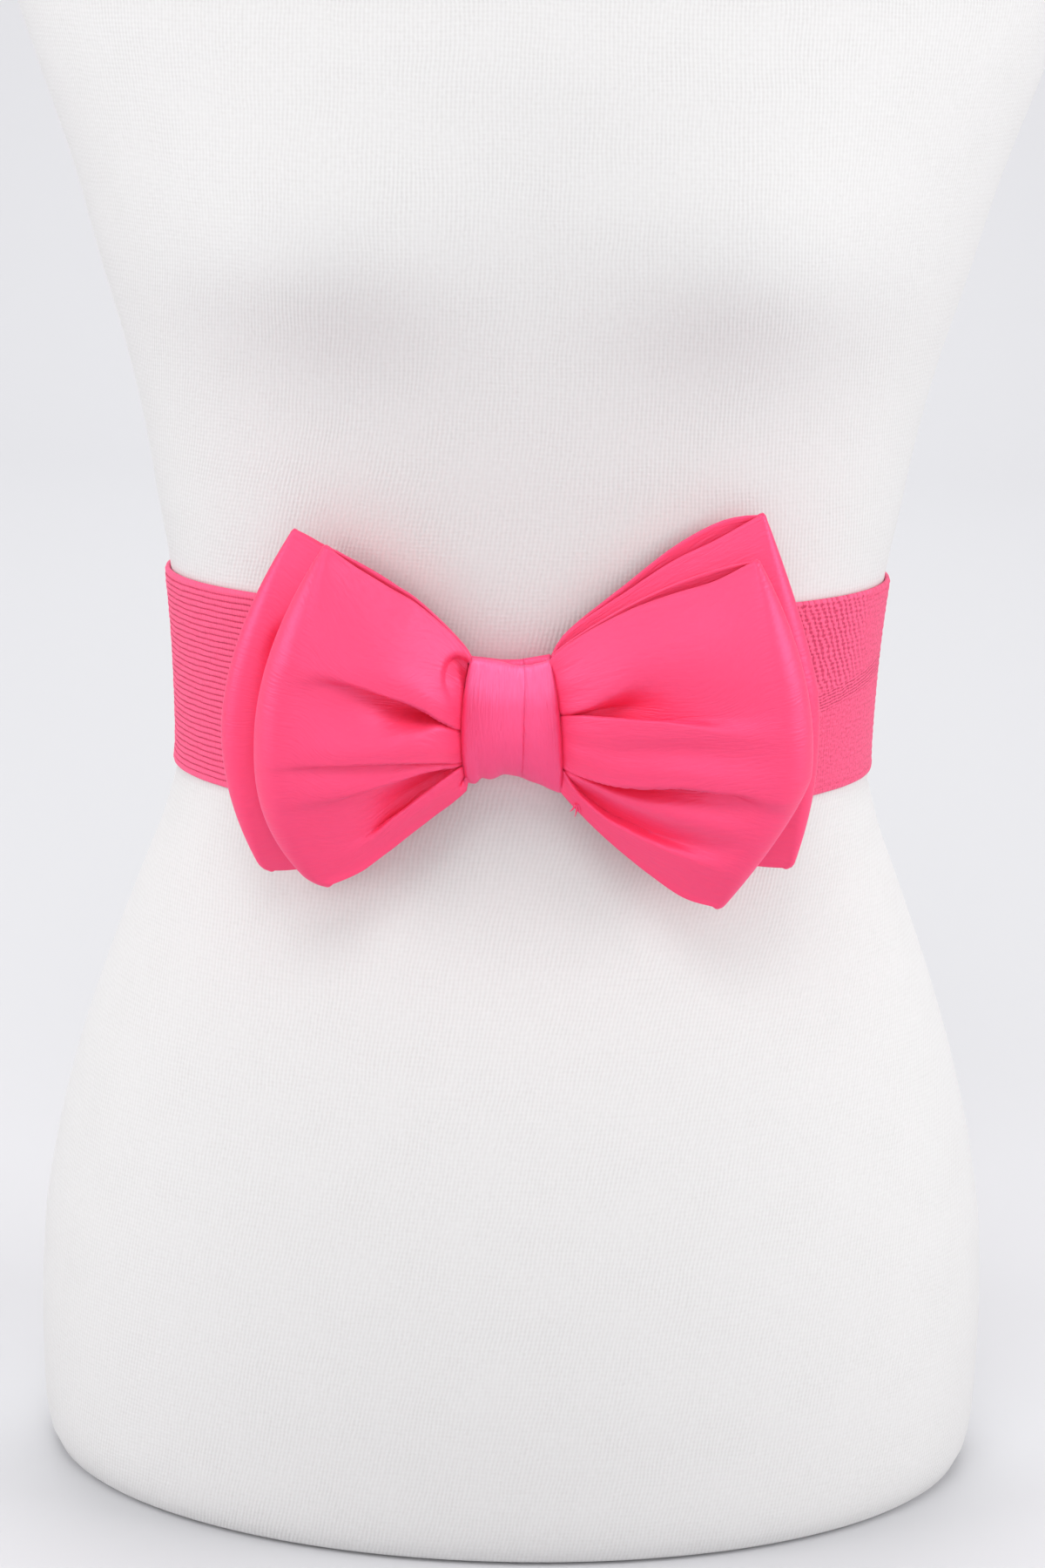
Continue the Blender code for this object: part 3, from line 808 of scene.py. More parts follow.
@dataclass
class DressForm:
    """A limbless dress form in a tight woven cover, from its flat base to its neck."""

    axis_y: float = -1.6
    bust_x: float = 72.0
    bust_height: float = 412.0
    bust_fullness: float = 15.0
    bust_spread_x: float = 45.0
    bust_spread_below: float = 31.0
    bust_spread_above: float = 48.0
    neck_edge: float = 3.5  # radius of the rounded edge at the top of the neck
    base_edge: float = 2.5
    columns: int = 200
    row_step: float = 5.0
    edge_steps: int = 5
    waist_spread: float = 0.18  # how much further apart the cover's threads lie at the waist
    waist_height: float = 265.0
    waist_reach: float = 75.0
    lean: float = 0.19  # of its upright threads, full below the waist and none at the bust
    lean_start: float = 420.0
    lean_reach: float = 180.0

    def section(self, heights: np.ndarray) -> list[np.ndarray]:
        """Read the section at some heights.

        Args:
            heights: The heights.

        Returns:
            Half width, front depth and back depth at each.
        """
        places = [row.height for row in FORM_SECTIONS]
        return [
            smooth_through(places, [getattr(row, name) for row in FORM_SECTIONS], heights)
            for name in ("half_width", "front", "back")
        ]

    def bust_rise(self, x: np.ndarray, heights: np.ndarray) -> np.ndarray:
        """How far the bust stands forward of the plain section.

        Args:
            x: Places across the form.
            heights: Their heights.

        Returns:
            The rise at each place.
        """
        below = heights < self.bust_height
        spread = np.where(below, self.bust_spread_below, self.bust_spread_above)
        upright = hump(heights - self.bust_height, spread)
        across = hump(np.abs(x) - self.bust_x, self.bust_spread_x)
        return self.bust_fullness * upright * across

    def surface(
        self, angles: np.ndarray, heights: np.ndarray, offset: np.ndarray | float = 0.0
    ) -> tuple[np.ndarray, np.ndarray]:
        """Points of the form at some angles and heights.

        Args:
            angles: Angles round the axis, from +X towards +Y.
            heights: Their heights.
            offset: How far outwards the points are moved.

        Returns:
            X and Y of each point.
        """
        half_width, front, back = self.section(heights)
        cosine, sine = np.cos(angles), np.sin(angles)
        depth = np.where(sine < 0, front, back)
        x, y = half_width * cosine, depth * sine
        normal_x, normal_y = cosine / half_width, sine / depth
        length = np.hypot(normal_x, normal_y)
        bust = self.bust_rise(x, heights) * np.minimum(1.0, -2.0 * sine)
        y = y - np.where(sine < 0, bust, 0.0)
        return x + offset * normal_x / length, y + offset * normal_y / length + self.axis_y

    def build(self) -> None:
        """Make the form: one closed skin, round at its base's and neck's edges."""
        top = FORM_SECTIONS[-1].height
        corner = np.linspace(0, math.pi / 2, self.edge_steps)
        at_base = self.base_edge * (1 - np.cos(corner))
        base_in = self.base_edge * (1 - np.sin(corner))
        at_neck = top - self.neck_edge * (1 - np.sin(corner))
        neck_in = self.neck_edge * (1 - np.cos(corner))
        count = int((at_neck[0] - at_base[-1]) / self.row_step)
        between = np.linspace(at_base[-1], at_neck[0], count)[1:-1]
        heights = np.concatenate([at_base, between, at_neck])
        inset = np.concatenate([base_in, np.zeros(len(between)), neck_in])
        angles = np.arange(self.columns) * 2 * math.pi / self.columns + math.pi / 2
        all_angles, all_heights = np.meshgrid(angles, heights, indexing="ij")
        x, y = self.surface(all_angles, all_heights, -np.broadcast_to(inset, all_angles.shape))
        points = np.stack([x, y, all_heights], axis=-1)
        grid = Grid(points, *self.cloth_places(points))
        form = grid_object("dress_form_cover", grid, False, COVER)
        ride(form, "form_cover", "dress_form")

    def cloth_places(self, points: np.ndarray) -> tuple[np.ndarray, np.ndarray]:
        """Lay the cover's threads: upright ones from the centre front, level ones up the front.

        Args:
            points: The form's points.

        Returns:
            Places along the cover in every row, and places across it.
        """
        length = np.linalg.norm(np.roll(points, -1, axis=0) - points, axis=2)
        along = running(length)
        along -= along[-1] / 2
        heights = points[0, :, 2]
        along /= 1 + self.waist_spread * hump(heights - self.waist_height, self.waist_reach)
        below = np.clip(self.lean_start - heights, 0, self.lean_reach)
        leant = below**2 / (2 * self.lean_reach)
        leant += np.maximum(self.lean_start - self.lean_reach - heights, 0)
        steps = np.linalg.norm(np.diff(points[self.columns // 2], axis=0), axis=1)
        return along + self.lean * leant, np.append(running(steps), 0)


# ---------------------------------------------------------------- the bow's middle


class WrapEdges(NamedTuple):
    """Where the wrap ends to the left and right of the bow's middle, at one level."""

    left: float
    right: float


@dataclass
class BowPlace:
    """Where the bow sits, which its loops, its wrap and the elastic share."""

    form: DressForm
    x: float = -3.3
    height: float = 269.4
    front_plane: float = 80.4  # the form's front under the bow; depths count from here
    wrap_top: WrapEdges = WrapEdges(-12.9, 10.6)
    wrap_middle: WrapEdges = WrapEdges(-15.5, 14.4)
    wrap_bottom: WrapEdges = WrapEdges(-13.6, 15.0)

    def y(self, depth: np.ndarray | float) -> np.ndarray | float:
        """Y of a depth in front of the form."""
        return self.form.axis_y - self.front_plane - depth

    def wrap_edge(self, side: int, level: np.ndarray) -> np.ndarray:
        """Place of the wrap's left or right edge.

        Args:
            side: -1 for the left edge, 1 for the right.
            level: Levels from -1 at the bottom to 1 at the top.

        Returns:
            X from the bow's middle.
        """
        name = "left" if side < 0 else "right"
        rows = (self.wrap_bottom, self.wrap_middle, self.wrap_top)
        bottom, middle, top = (getattr(row, name) for row in rows)
        return middle + (top - bottom) / 2 * level + ((top + bottom) / 2 - middle) * level**2


# ---------------------------------------------------------------- the elastic


class Ripple(NamedTuple):
    """A fine wave over the elastic: its height, and how fast it turns round and up the belt."""

    height: float
    turns_round: float
    turns_up: float


def rippled(ripples: tuple[Ripple, ...], angles: np.ndarray, places: np.ndarray) -> np.ndarray:
    """Add up some ripples at angles round the belt and places up it."""
    waves = (r.height * np.sin(angles * r.turns_round + places * r.turns_up) for r in ripples)
    return sum(waves)


@dataclass
class ElasticBelt:
    """A wide elastic woven in ribs, stretched round the waist and gathered under the bow."""

    place: BowPlace
    height: float = 65.0
    middle: float = 269.8
    tilt: float = 0.006
    gap: float = 0.25
    wall: float = 1.5
    rib_count: int = 31
    rib_pitch: float = 2.0
    rib_rise: float = 0.45  # of a rib over its grooves
    plain: float = 0.85  # how far the ribs are drawn flat at the right of the front
    gathered_height: float = 28.5
    gather_clearance: float = 2.8
    gather_start: float = 62.0
    lift_start: float = 50.0
    lift: float = 2.3  # of the elastic's inner side inside the wrap, from the form's front
    columns: int = 250
    rib_profile: tuple[float, ...] = (0.0, 0.12, 0.36, 0.64, 0.88)
    lower_rise: tuple[float, float] = (2.8, 1.7)  # of its lower edge at the right and the left
    side_start: float = 50.0  # from the middle to where that begins
    side_reach: float = 50.0
    front_reach: float = 70.0  # and from the middle back to where it is whole
    cut_length: float = 560.0  # before it is stretched
    edge_places: tuple[float, ...] = (0.0, 0.35, 0.7)  # rows of the plain edge, as shares of it
    edge_rises: tuple[float, ...] = (0.1, 0.32, 0.28)
    row_ripples: tuple[Ripple, ...] = (Ripple(0.08, 23, 0.31), Ripple(0.05, 61, -0.83))
    rib_ripples: tuple[Ripple, ...] = (Ripple(0.18, 37, 2.4), Ripple(0.12, 83, 1.3))
    pull_starts: tuple[float, float] = (0.25, 0.3)  # an angle past the front, and over how much
    pull_ends: tuple[float, float] = (1.7, 0.4)

    def row(self, angles: np.ndarray, level: np.ndarray, offset: np.ndarray) -> np.ndarray:
        """Points of the elastic.

        Args:
            angles: Angles round the form.
            level: Levels from -1 at its lower edge to 1 at its upper edge.
            offset: Distance out from its inner side.

        Returns:
            The points.
        """
        form, place = self.place.form, self.place
        x, y = form.surface(angles, np.full_like(angles, self.middle))
        in_front = y < form.axis_y
        from_bow = np.where(in_front, np.abs(x - place.x), self.gather_start)
        wrap_half = place.wrap_middle.right + self.gather_clearance
        opened = smooth_step((from_bow - wrap_half) / (self.gather_start - wrap_half))
        seated = smooth_step((from_bow - wrap_half) / (self.lift_start - wrap_half))
        half = 0.5 * (self.gathered_height + (self.height - self.gathered_height) * opened)
        heights = self.middle + self.tilt * (x - place.x) * opened + half * level
        right, left = self.lower_rise
        to_side = smooth_step((np.abs(x) - self.side_start) / self.side_reach)
        to_side = to_side * smooth_step((self.front_reach - y) / self.front_reach)
        heights = heights + np.where(x > 0, right, left) * to_side * (1 - level) / 2
        seat_x, seat_y = form.surface(angles, heights, self.gap + offset)
        lifted = place.y(self.lift + offset)
        y = np.where(in_front, lifted + (seat_y - lifted) * seated, seat_y)
        return np.stack([seat_x, y, heights], axis=-1)

    def profile(self) -> tuple[np.ndarray, np.ndarray]:
        """Rows of the ribbed side, from the lower edge to the upper.

        Returns:
            Heights from the lower edge, and how far each row is raised.
        """
        edge = (self.height - self.rib_count * self.rib_pitch) / 2
        places = [edge * share for share in self.edge_places]
        rises = list(self.edge_rises)
        for rib in range(self.rib_count):
            for share in self.rib_profile:
                places.append(edge + (rib + share) * self.rib_pitch)
                rises.append(self.rib_rise * (1 - abs(2 * share - 1) ** 5) ** 0.7)
        upper = [self.height - edge * share for share in (0.6, 0.3, 0.0)]
        places += [edge + self.rib_count * self.rib_pitch, *upper]
        rises += [0.0, *self.edge_rises[::-1]]
        return np.array(places), np.array(rises)

    def build(self) -> None:
        """Make the elastic: ribs raised on its outer side over a plain inside."""
        angles = np.arange(self.columns) * 2 * math.pi / self.columns + math.pi / 2
        places, rises = self.profile()
        all_angles, all_places = np.meshgrid(angles, places, indexing="ij")
        waver = rippled(self.row_ripples, all_angles, all_places)
        ends = np.minimum(all_places, self.height - all_places)
        level = (all_places + waver * smooth_step(ends / 3)) / (self.height / 2) - 1
        uneven = 1 + rippled(self.rib_ripples, all_angles, all_places)
        middle = self.row(all_angles, level, np.full_like(level, self.wall / 2))
        begun, ended = (
            smooth_step((all_angles - 1.5 * math.pi - start) / length)
            for start, length in (self.pull_starts, self.pull_ends)
        )
        flat = self.plain * begun * (1 - ended) * smooth_step(ends / 2 - 0.5)
        drawn_flat = rises + (rises.mean() - rises) * flat
        outward = self.wall / 2 + drawn_flat * uneven
        inward = np.full_like(level, self.wall / 2)
        grid = Band(middle, outward, inward, places).grid()
        grid = grid._replace(along=grid.along - grid.along[-1] / 2)
        belt = grid_object("elastic_belt_ribs", grid, True, ELASTIC)
        ride(belt, "ribbed_elastic", "elastic_belt")


# ---------------------------------------------------------------- the bows


class Side(Enum):
    """A side of the bow, as the viewer sees it."""

    LEFT = -1
    RIGHT = 1


class Layer(Enum):
    """A stretch of a bow's ring."""

    FRONT = "front"
    FOLD = "fold"
    BACK = "back"
    MIDDLE_FRONT = "middle_front"
    MIDDLE_BACK = "middle_back"


class Lip(Enum):
    """Which side of a crease stands over the other."""

    UPPER = 1
    LOWER = -1
    NONE = 0


class Column(NamedTuple):
    """One upright line of a bow's ring."""

    side: Side
    layer: Layer
    reach: float  # 0 at the wrap, 1 at the outer fold; in the middle, a share of the wrap
    turn: float  # angle round the outer fold


STATIONS = (0.0, 0.05, 0.12, 0.25, 0.4, 0.6, 0.8, 1.0)  # reaches where values are given


def at_reach(values: tuple[float, ...], reach: float) -> float:
    """Read values that are given at the stations, at any reach."""
    return float(smooth_through(STATIONS, values, reach))


@dataclass(frozen=True)
class Loop:
    """One half of a bow. The outer fold runs from its bottom corner to its top corner."""

    side: Side
    top_x: float
    top_height: float
    bottom_x: float
    bottom_height: float
    bulge: float  # how far the outer fold bows out
    bulge_level: float  # where it bows out most, from -1 at the bottom to 1 at the top
    lower_power: float  # 1 is straight from there to the bottom corner, more is rounder
    top_bow: float  # how far the top edge bows up
    bottom_bow: float  # how far the bottom edge bows down
    back_rise: float  # how far the back layer's top edge stands above the front one's
    fold_radius: float  # of the rolled outer fold at its middle
    corner_radius: float  # and at its corners
    seat: float  # depth of the back layer at the outer fold
    corner_seat: float  # how much further forward its corners are
    puff: float  # extra fullness of the front layer
    round_top: float  # radius of the outline's corners
    round_bottom: float
    upper_power: float = 1.9
    top_wave: tuple[float, ...] = (0.0,) * 8  # how far the top edge stands above its bow
    front_wave: tuple[float, ...] = (0.0,) * 8  # and the front layer's above that
    bottom_wave: tuple[float, ...] = (0.0,) * 8  # how far the bottom edge stands above its bow

    def outer_fold(self, level: np.ndarray) -> tuple[np.ndarray, np.ndarray]:
        """The outer fold's line.

        Args:
            level: Levels from -1 to 1.

        Returns:
            X and height.
        """
        above = level > self.bulge_level
        span = np.where(above, 1 - self.bulge_level, 1 + self.bulge_level)
        power = np.where(above, self.upper_power, self.lower_power)
        bow = 1 - np.abs((level - self.bulge_level) / span) ** power
        up = (level + 1) / 2
        x = self.bottom_x + (self.top_x - self.bottom_x) * up + self.side.value * self.bulge * bow
        height = self.top_height - self.bottom_height
        for radius, from_corner in ((self.round_top, 1 - up), (self.round_bottom, up)):
            short = np.clip(1 - from_corner * height / radius, 0, 1)
            x = x - self.side.value * radius * (1 - np.sqrt(1 - short**2))
        return x, self.bottom_height + height * up


@dataclass(frozen=True)
class Crease:
    """A crease that runs out from the wrap, by its values at each station."""

    side: Side
    layer: Layer
    lip: Lip
    levels: tuple[float, ...]
    depths: tuple[float, ...]
    softs: tuple[float, ...]  # width of its soft side
    flats: tuple[float, ...] = (0.0,) * 8  # width of its floor
    turns: tuple[float, ...] = (1.0,) * 8  # half the width of its steep side
    overhang: float = 0.25  # of its lip, as a share of its depth
    fullness: float = 0.0  # how far the cloth swells beside the lip


@dataclass(frozen=True)
class Tuck:
    """A short valley that curls round a small flap of cloth, by the places along it."""

    side: Side
    reaches: tuple[float, ...]
    levels: tuple[float, ...]
    depths: tuple[float, ...]
    flap_side: float  # width of the valley's side at the flap
    panel_side: float  # and at the panel


@dataclass
class Bow:
    """One band of satin closed into a ring and pinched at its middle by the wrap."""

    name: str
    node: str
    place: BowPlace
    loops: tuple[Loop, Loop]
    creases: tuple[Crease, ...]
    seat_at_wrap: float  # depth of its back layer inside the wrap
    layer_pitch: float  # between its two layers inside the wrap
    pinch_top: float  # heights of its edges where the loops leave the wrap, from the bow's middle
    pinch_bottom: float
    band_length: float  # of the flat satin
    band_height: float
    tucks: tuple[Tuck, ...] = ()
    wall: float = 0.8
    hem: float = 0.14  # how much thicker the turned edges are, on each side
    hem_width: float = 1.3
    pleat_rise: float = 0.15
    pleat_count: float = 6.5
    pinch_clearance: float = 0.4
    layer_gap: float = 1.5  # least distance between the middles of its two layers
    puff_power: float = 0.5  # less than 1 swells the front layer nearer to the wrap
    rows: int = 150
    front_columns: int = 72
    back_columns: int = 26
    fold_columns: int = 14
    middle_columns: int = 9
    middle_top: tuple[float, ...] = (19.2, 17.0, 16.4, 16.0, 16.2, 17.2, 19.4)
    middle_bottom: tuple[float, ...] = (-16.4, -14.6, -13.3, -12.9, -14.2, -16.2, -18.0)
    middle_shares: tuple[float, ...] = (0.0, 0.14, 0.32, 0.5, 0.7, 0.88, 1.0)
    front_spacing: float = 1.4  # more than 1 draws the columns together beside the wrap
    back_spacing: float = 1.2
    middle_inset: float = 0.012  # of the outermost columns inside the wrap
    edge_rows: float = 1.2  # how much closer the rows lie at the edges
    edge_share: float = 0.03
    crease_rows: float = 4.5  # and at a crease
    crease_reach: float = 1.8  # to each side of its line, and more with its steep side
    crease_spread: float = 2.0
    fold_share: float = 0.15  # of that closeness, which is left at the outer fold
    tuck_rows: float = 1.2  # and at a tuck
    tuck_share: float = 0.3
    swell: float = 4.5  # how far from a lip the cloth swells
    valley_points: int = 240
    corner_power: float = 2.8  # the higher, the nearer to the corners the fold narrows
    by_side: dict[Side, Loop] = field(default_factory=dict)

    def __post_init__(self) -> None:
        """Keep the loops by their side."""
        self.by_side = {loop.side: loop for loop in self.loops}

    def columns(self) -> list[Column]:
        """List the ring's columns, anticlockwise from the wrap's right edge in front.

        Returns:
            The columns.
        """
        front = (np.arange(self.front_columns) / (self.front_columns - 1)) ** self.front_spacing
        back = (np.arange(self.back_columns) / (self.back_columns - 1)) ** self.back_spacing
        arc = np.linspace(0, math.pi, self.fold_columns + 2)[1:-1]
        middle = np.linspace(self.middle_inset, 1 - self.middle_inset, self.middle_columns)
        right = [Column(Side.RIGHT, Layer.FRONT, float(r), 0.0) for r in front]
        right += [Column(Side.RIGHT, Layer.FOLD, 1.0, float(a)) for a in arc]
        right += [Column(Side.RIGHT, Layer.BACK, float(r), 0.0) for r in back[::-1]]
        left = [column._replace(side=Side.LEFT) for column in right[::-1]]
        behind = [Column(Side.RIGHT, Layer.MIDDLE_BACK, float(s), 0.0) for s in middle[::-1]]
        ahead = [Column(Side.LEFT, Layer.MIDDLE_FRONT, float(s), 0.0) for s in middle]
        return right + behind + left + ahead

    def path(self, loop: Loop, reach: float, level: np.ndarray) -> tuple[np.ndarray, np.ndarray]:
        """The way from the wrap's edge to the outer fold.

        Args:
            loop: The loop.
            reach: Share of the way.
            level: Levels from -1 to 1.

        Returns:
            X and height.
        """
        edge = self.place.wrap_edge(loop.side.value, level)
        start_x = self.place.x + edge + loop.side.value * self.pinch_clearance
        centre = (self.pinch_top + self.pinch_bottom) / 2
        half = (self.pinch_top - self.pinch_bottom) / 2
        start_z = self.place.height + centre + half * level
        end_x, end_z = loop.outer_fold(level)
        along = np.where(level > 0, reach**0.75, reach)
        bow = np.where(level > 0, loop.top_bow, -loop.bottom_bow) * level**2
        waves = at_reach(loop.top_wave, reach), at_reach(loop.bottom_wave, reach)
        wave = np.where(level > 0, *waves)
        height = start_z + (end_z - start_z) * reach + bow * 4 * along * (1 - along)
        height = height + wave * np.abs(level) ** 3
        return start_x + (end_x - start_x) * reach, height

    def half_height(self, loop: Loop, reach: float) -> float:
        """Half the height of a loop at a reach."""
        return float(np.diff(self.path(loop, reach, np.array([-1.0, 1.0]))[1])[0]) / 2

    def creases_on(self, side: Side, layer: Layer) -> list[Crease]:
        """List the creases of one side and layer."""
        return [c for c in self.creases if c.side is side and c.layer is layer]

    def tucks_on(self, side: Side) -> list[Tuck]:
        """List the tucks of one side."""
        return [tuck for tuck in self.tucks if tuck.side is side]

    def row_levels(self, column: Column) -> np.ndarray:
        """Space a column's rows, closer together where creases cross it.

        Args:
            column: The column.

        Returns:
            Levels from -1 to 1.
        """
        fine = np.linspace(-1, 1, 1601)
        density = 1 + self.edge_rows * hump(1 - np.abs(fine), self.edge_share)
        if column.layer in (Layer.FRONT, Layer.FOLD):
            half = self.half_height(self.by_side[column.side], column.reach)
            outer = float(smooth_step((column.reach - 0.6) / 0.4))
            fade = 1 - (1 - self.fold_share) * outer
            if column.layer is Layer.FOLD:
                fade = self.fold_share * (1 - column.turn / math.pi)
            for crease in self.creases_on(column.side, Layer.FRONT):
                if crease.lip is Lip.NONE:
                    continue
                line = at_reach(crease.levels, column.reach)
                steep = at_reach(crease.turns, column.reach)
                width = (self.crease_reach + self.crease_spread * steep) / half
                density += self.crease_rows * fade * hump(fine - line, width)
            for tuck in self.tucks_on(column.side):
                away = min(abs(reach - column.reach) for reach in tuck.reaches)
                middle = sum(tuck.levels) / len(tuck.levels)
                close = self.tuck_rows * float(1 - smooth_step(away / self.tuck_share))
                density += close * hump(fine - middle, self.tuck_share)
        return spread_out(fine, running((density[1:] + density[:-1]) / 2), self.rows)

    def creased(self, column: Column, level: np.ndarray) -> tuple[np.ndarray, np.ndarray]:
        """What the creases and tucks do to one column.

        Args:
            column: The column.
            level: Its levels.

        Returns:
            How far the cloth is drawn into the loop, and how far it is moved up.
        """
        loop = self.by_side[column.side]
        reach = column.reach
        half = self.half_height(loop, reach)
        drawn, raised = np.zeros_like(level), np.zeros_like(level)
        for crease in self.creases_on(column.side, column.layer):
            depth = at_reach(crease.depths, reach)
            soft = at_reach(crease.softs, reach)
            distance = (level - at_reach(crease.levels, reach)) * half
            if crease.lip is Lip.NONE:
                drawn += depth * hump(distance, soft)
                continue
            distance = distance * crease.lip.value
            turn, flat = at_reach(crease.turns, reach), at_reach(crease.flats, reach)
            shape = FoldShape(depth, depth * crease.overhang, turn, flat, soft)
            folded = fold_over(distance, shape)
            drawn += folded.drawn
            raised += folded.shift * crease.lip.value
            share = depth / max(crease.depths)
            swell = hump(distance - self.swell, self.swell)
            drawn -= crease.fullness * share * swell
        if column.layer is Layer.FRONT:
            drawn += self.tucked(column, level, half)
        return drawn, raised

    def tucked(self, column: Column, level: np.ndarray, half: float) -> np.ndarray:
        """What the tucks beside the wrap do to one column of the front layer.

        Args:
            column: The column.
            level: Its levels.
            half: Half the column's height.

        Returns:
            How far the cloth is drawn in.
        """
        drawn = np.zeros_like(level)
        loop = self.by_side[column.side]
        length = (abs(loop.bottom_x) + abs(loop.top_x)) / 2
        points = np.column_stack([np.full_like(level, column.reach * length), level * half])
        for tuck in self.tucks_on(column.side):
            last = len(tuck.reaches) - 1
            given, at = np.arange(last + 1), np.linspace(0, last, self.valley_points)
            halves = [self.half_height(loop, reach) for reach in tuck.reaches]
            sideways, up = np.array(tuck.reaches) * length, np.array(tuck.levels) * halves
            line = np.column_stack([smooth_through(given, row, at) for row in (sideways, up)])
            depth = smooth_through(given / last, tuck.depths, at / last)
            side = np.where(left_of_line(points, line), tuck.flap_side, tuck.panel_side)[:, None]
            apart = np.linalg.norm(points[:, None] - line, axis=-1)
            drawn += np.max(depth * hump(apart, side), axis=1)
        return drawn

    def middle_column(self, column: Column) -> np.ndarray:
        """One column of the stretch that the wrap holds.

        Args:
            column: The column.

        Returns:
            Its points.
        """
        level = self.row_levels(column)
        top = float(smooth_through(self.middle_shares, self.middle_top, column.reach))
        bottom = float(smooth_through(self.middle_shares, self.middle_bottom, column.reach))
        left, right = self.place.wrap_edge(-1, level), self.place.wrap_edge(1, level)
        x = self.place.x + left + (right - left) * column.reach
        depth = self.seat_at_wrap + self.pleats(level, 0.0)
        if column.layer is Layer.MIDDLE_FRONT:
            depth = depth + self.layer_pitch
        z = self.place.height + (top + bottom) / 2 + (top - bottom) / 2 * level
        return np.column_stack([x, self.place.y(depth), z])

    def pleats(self, level: np.ndarray, reach: float) -> np.ndarray:
        """How far the small pleats that the wrap presses into every layer stand forward."""
        fade = 1 - smooth_step(reach / 0.25)
        return self.pleat_rise * np.cos(math.pi * self.pleat_count * level) * fade

    def loop_column(self, column: Column) -> np.ndarray:
        """One column of a loop's middle surface.

        Args:
            column: The column.

        Returns:
            Its points.
        """
        loop, reach = self.by_side[column.side], column.reach
        level = self.row_levels(column)
        corner = np.abs(level) ** self.corner_power
        radius = loop.fold_radius + (loop.corner_radius - loop.fold_radius) * corner
        seat_end = loop.seat + loop.corner_seat * corner
        seat = self.seat_at_wrap + (seat_end - self.seat_at_wrap) * reach**1.2
        full = math.sin(math.pi / 2 * reach)
        width = self.layer_pitch + (2 * radius - self.layer_pitch) * full
        way_x, way_z = self.path(loop, reach, level)
        end_x, end_z = loop.outer_fold(level)
        start_x, start_z = self.path(loop, 0.0, level)
        length = np.hypot(end_x - start_x, end_z - start_z)
        out_x, out_z = (end_x - start_x) / length, (end_z - start_z) / length
        if column.layer is Layer.FOLD:
            back_off = radius * (1 - math.sin(column.turn))
            depth = seat + radius * (1 + math.cos(column.turn))
            drawn, raised = self.creased(column._replace(layer=Layer.FRONT), level)
            fade = max(math.cos(column.turn), 0.0) ** 2
            depth = depth - drawn * fade
            way_z = way_z + raised * fade
        else:
            back_off = radius * reach
            depth = seat + self.pleats(level, reach)
            drawn, raised = self.creased(column, level)
            way_z = way_z + raised
            if column.layer is Layer.FRONT:
                puff = loop.puff * math.sin(math.pi * reach**self.puff_power) * (1 - level**2)
                behind, _ = self.creased(column._replace(layer=Layer.BACK), level)
                room = np.maximum(width + puff - behind - self.layer_gap, 0.1)
                inwards = np.maximum(drawn, 0)
                held = room * inwards / (room**4 + inwards**4) ** 0.25
                depth = depth + width + puff - np.where(drawn > 0, held, drawn)
                wave = at_reach(loop.front_wave, reach)
                way_z = way_z + wave * np.maximum(level, 0) ** 3
            else:
                rise = loop.back_rise * np.maximum(level, 0) ** 3
                way_z = way_z + rise * 6.75 * reach**2 * (1 - reach)
                depth = depth + drawn
        x, z = way_x - out_x * back_off, way_z - out_z * back_off
        return np.column_stack([x, self.place.y(depth), z])

    def build(self) -> None:
        """Make the bow, with a slightly thicker turned edge along its top and bottom."""
        held = (Layer.MIDDLE_BACK, Layer.MIDDLE_FRONT)
        middle = np.array([
            self.middle_column(c) if c.layer in held else self.loop_column(c)
            for c in self.columns()
        ])
        from_edge = np.minimum(
            *(np.linalg.norm(middle - middle[:, [end]], axis=2) for end in (0, -1))
        )
        half = self.wall / 2 + self.hem * hump(from_edge, self.hem_width)
        across = np.linspace(-self.band_height / 2, self.band_height / 2, self.rows)
        band = Band(middle, half, half, across)
        bow = grid_object(self.name, band.grid(), True, SATIN)
        ride(bow, "bow_satin", self.node)


# Read from the photograph: corners and edges in millimetres, waves at the stations.
BACK_LOOPS = (
    Loop(
        side=Side.LEFT, top_x=-71.6, top_height=326.4, bottom_x=-80.2, bottom_height=219.4,
        bulge=16.4, bulge_level=-0.05, lower_power=1.9, top_bow=5.5, bottom_bow=7.5,
        back_rise=0.6, fold_radius=6.6, corner_radius=1, seat=-2.5, corner_seat=1.5, puff=0.5,
        round_top=0.3, round_bottom=2.6,
        top_wave=(0, 0, 0, 0, 0, -0.6, -1.2, 0),
    ),
    Loop(
        side=Side.RIGHT, top_x=71.6, top_height=334.6, bottom_x=84.3, bottom_height=224.2,
        bulge=12, bulge_level=0, lower_power=1.9, top_bow=5, bottom_bow=6.5,
        back_rise=3.6, fold_radius=6, corner_radius=1.3, seat=-2.5, corner_seat=2, puff=0.5,
        round_top=0.4, round_bottom=1.6, upper_power=1.4,
        top_wave=(1.5, 3.4, 3, 1.6, 0.7, 1, 1, 0),
        front_wave=(0, 0, 0, 0, 0, -0.4, -1.6, 0),
    ),
)
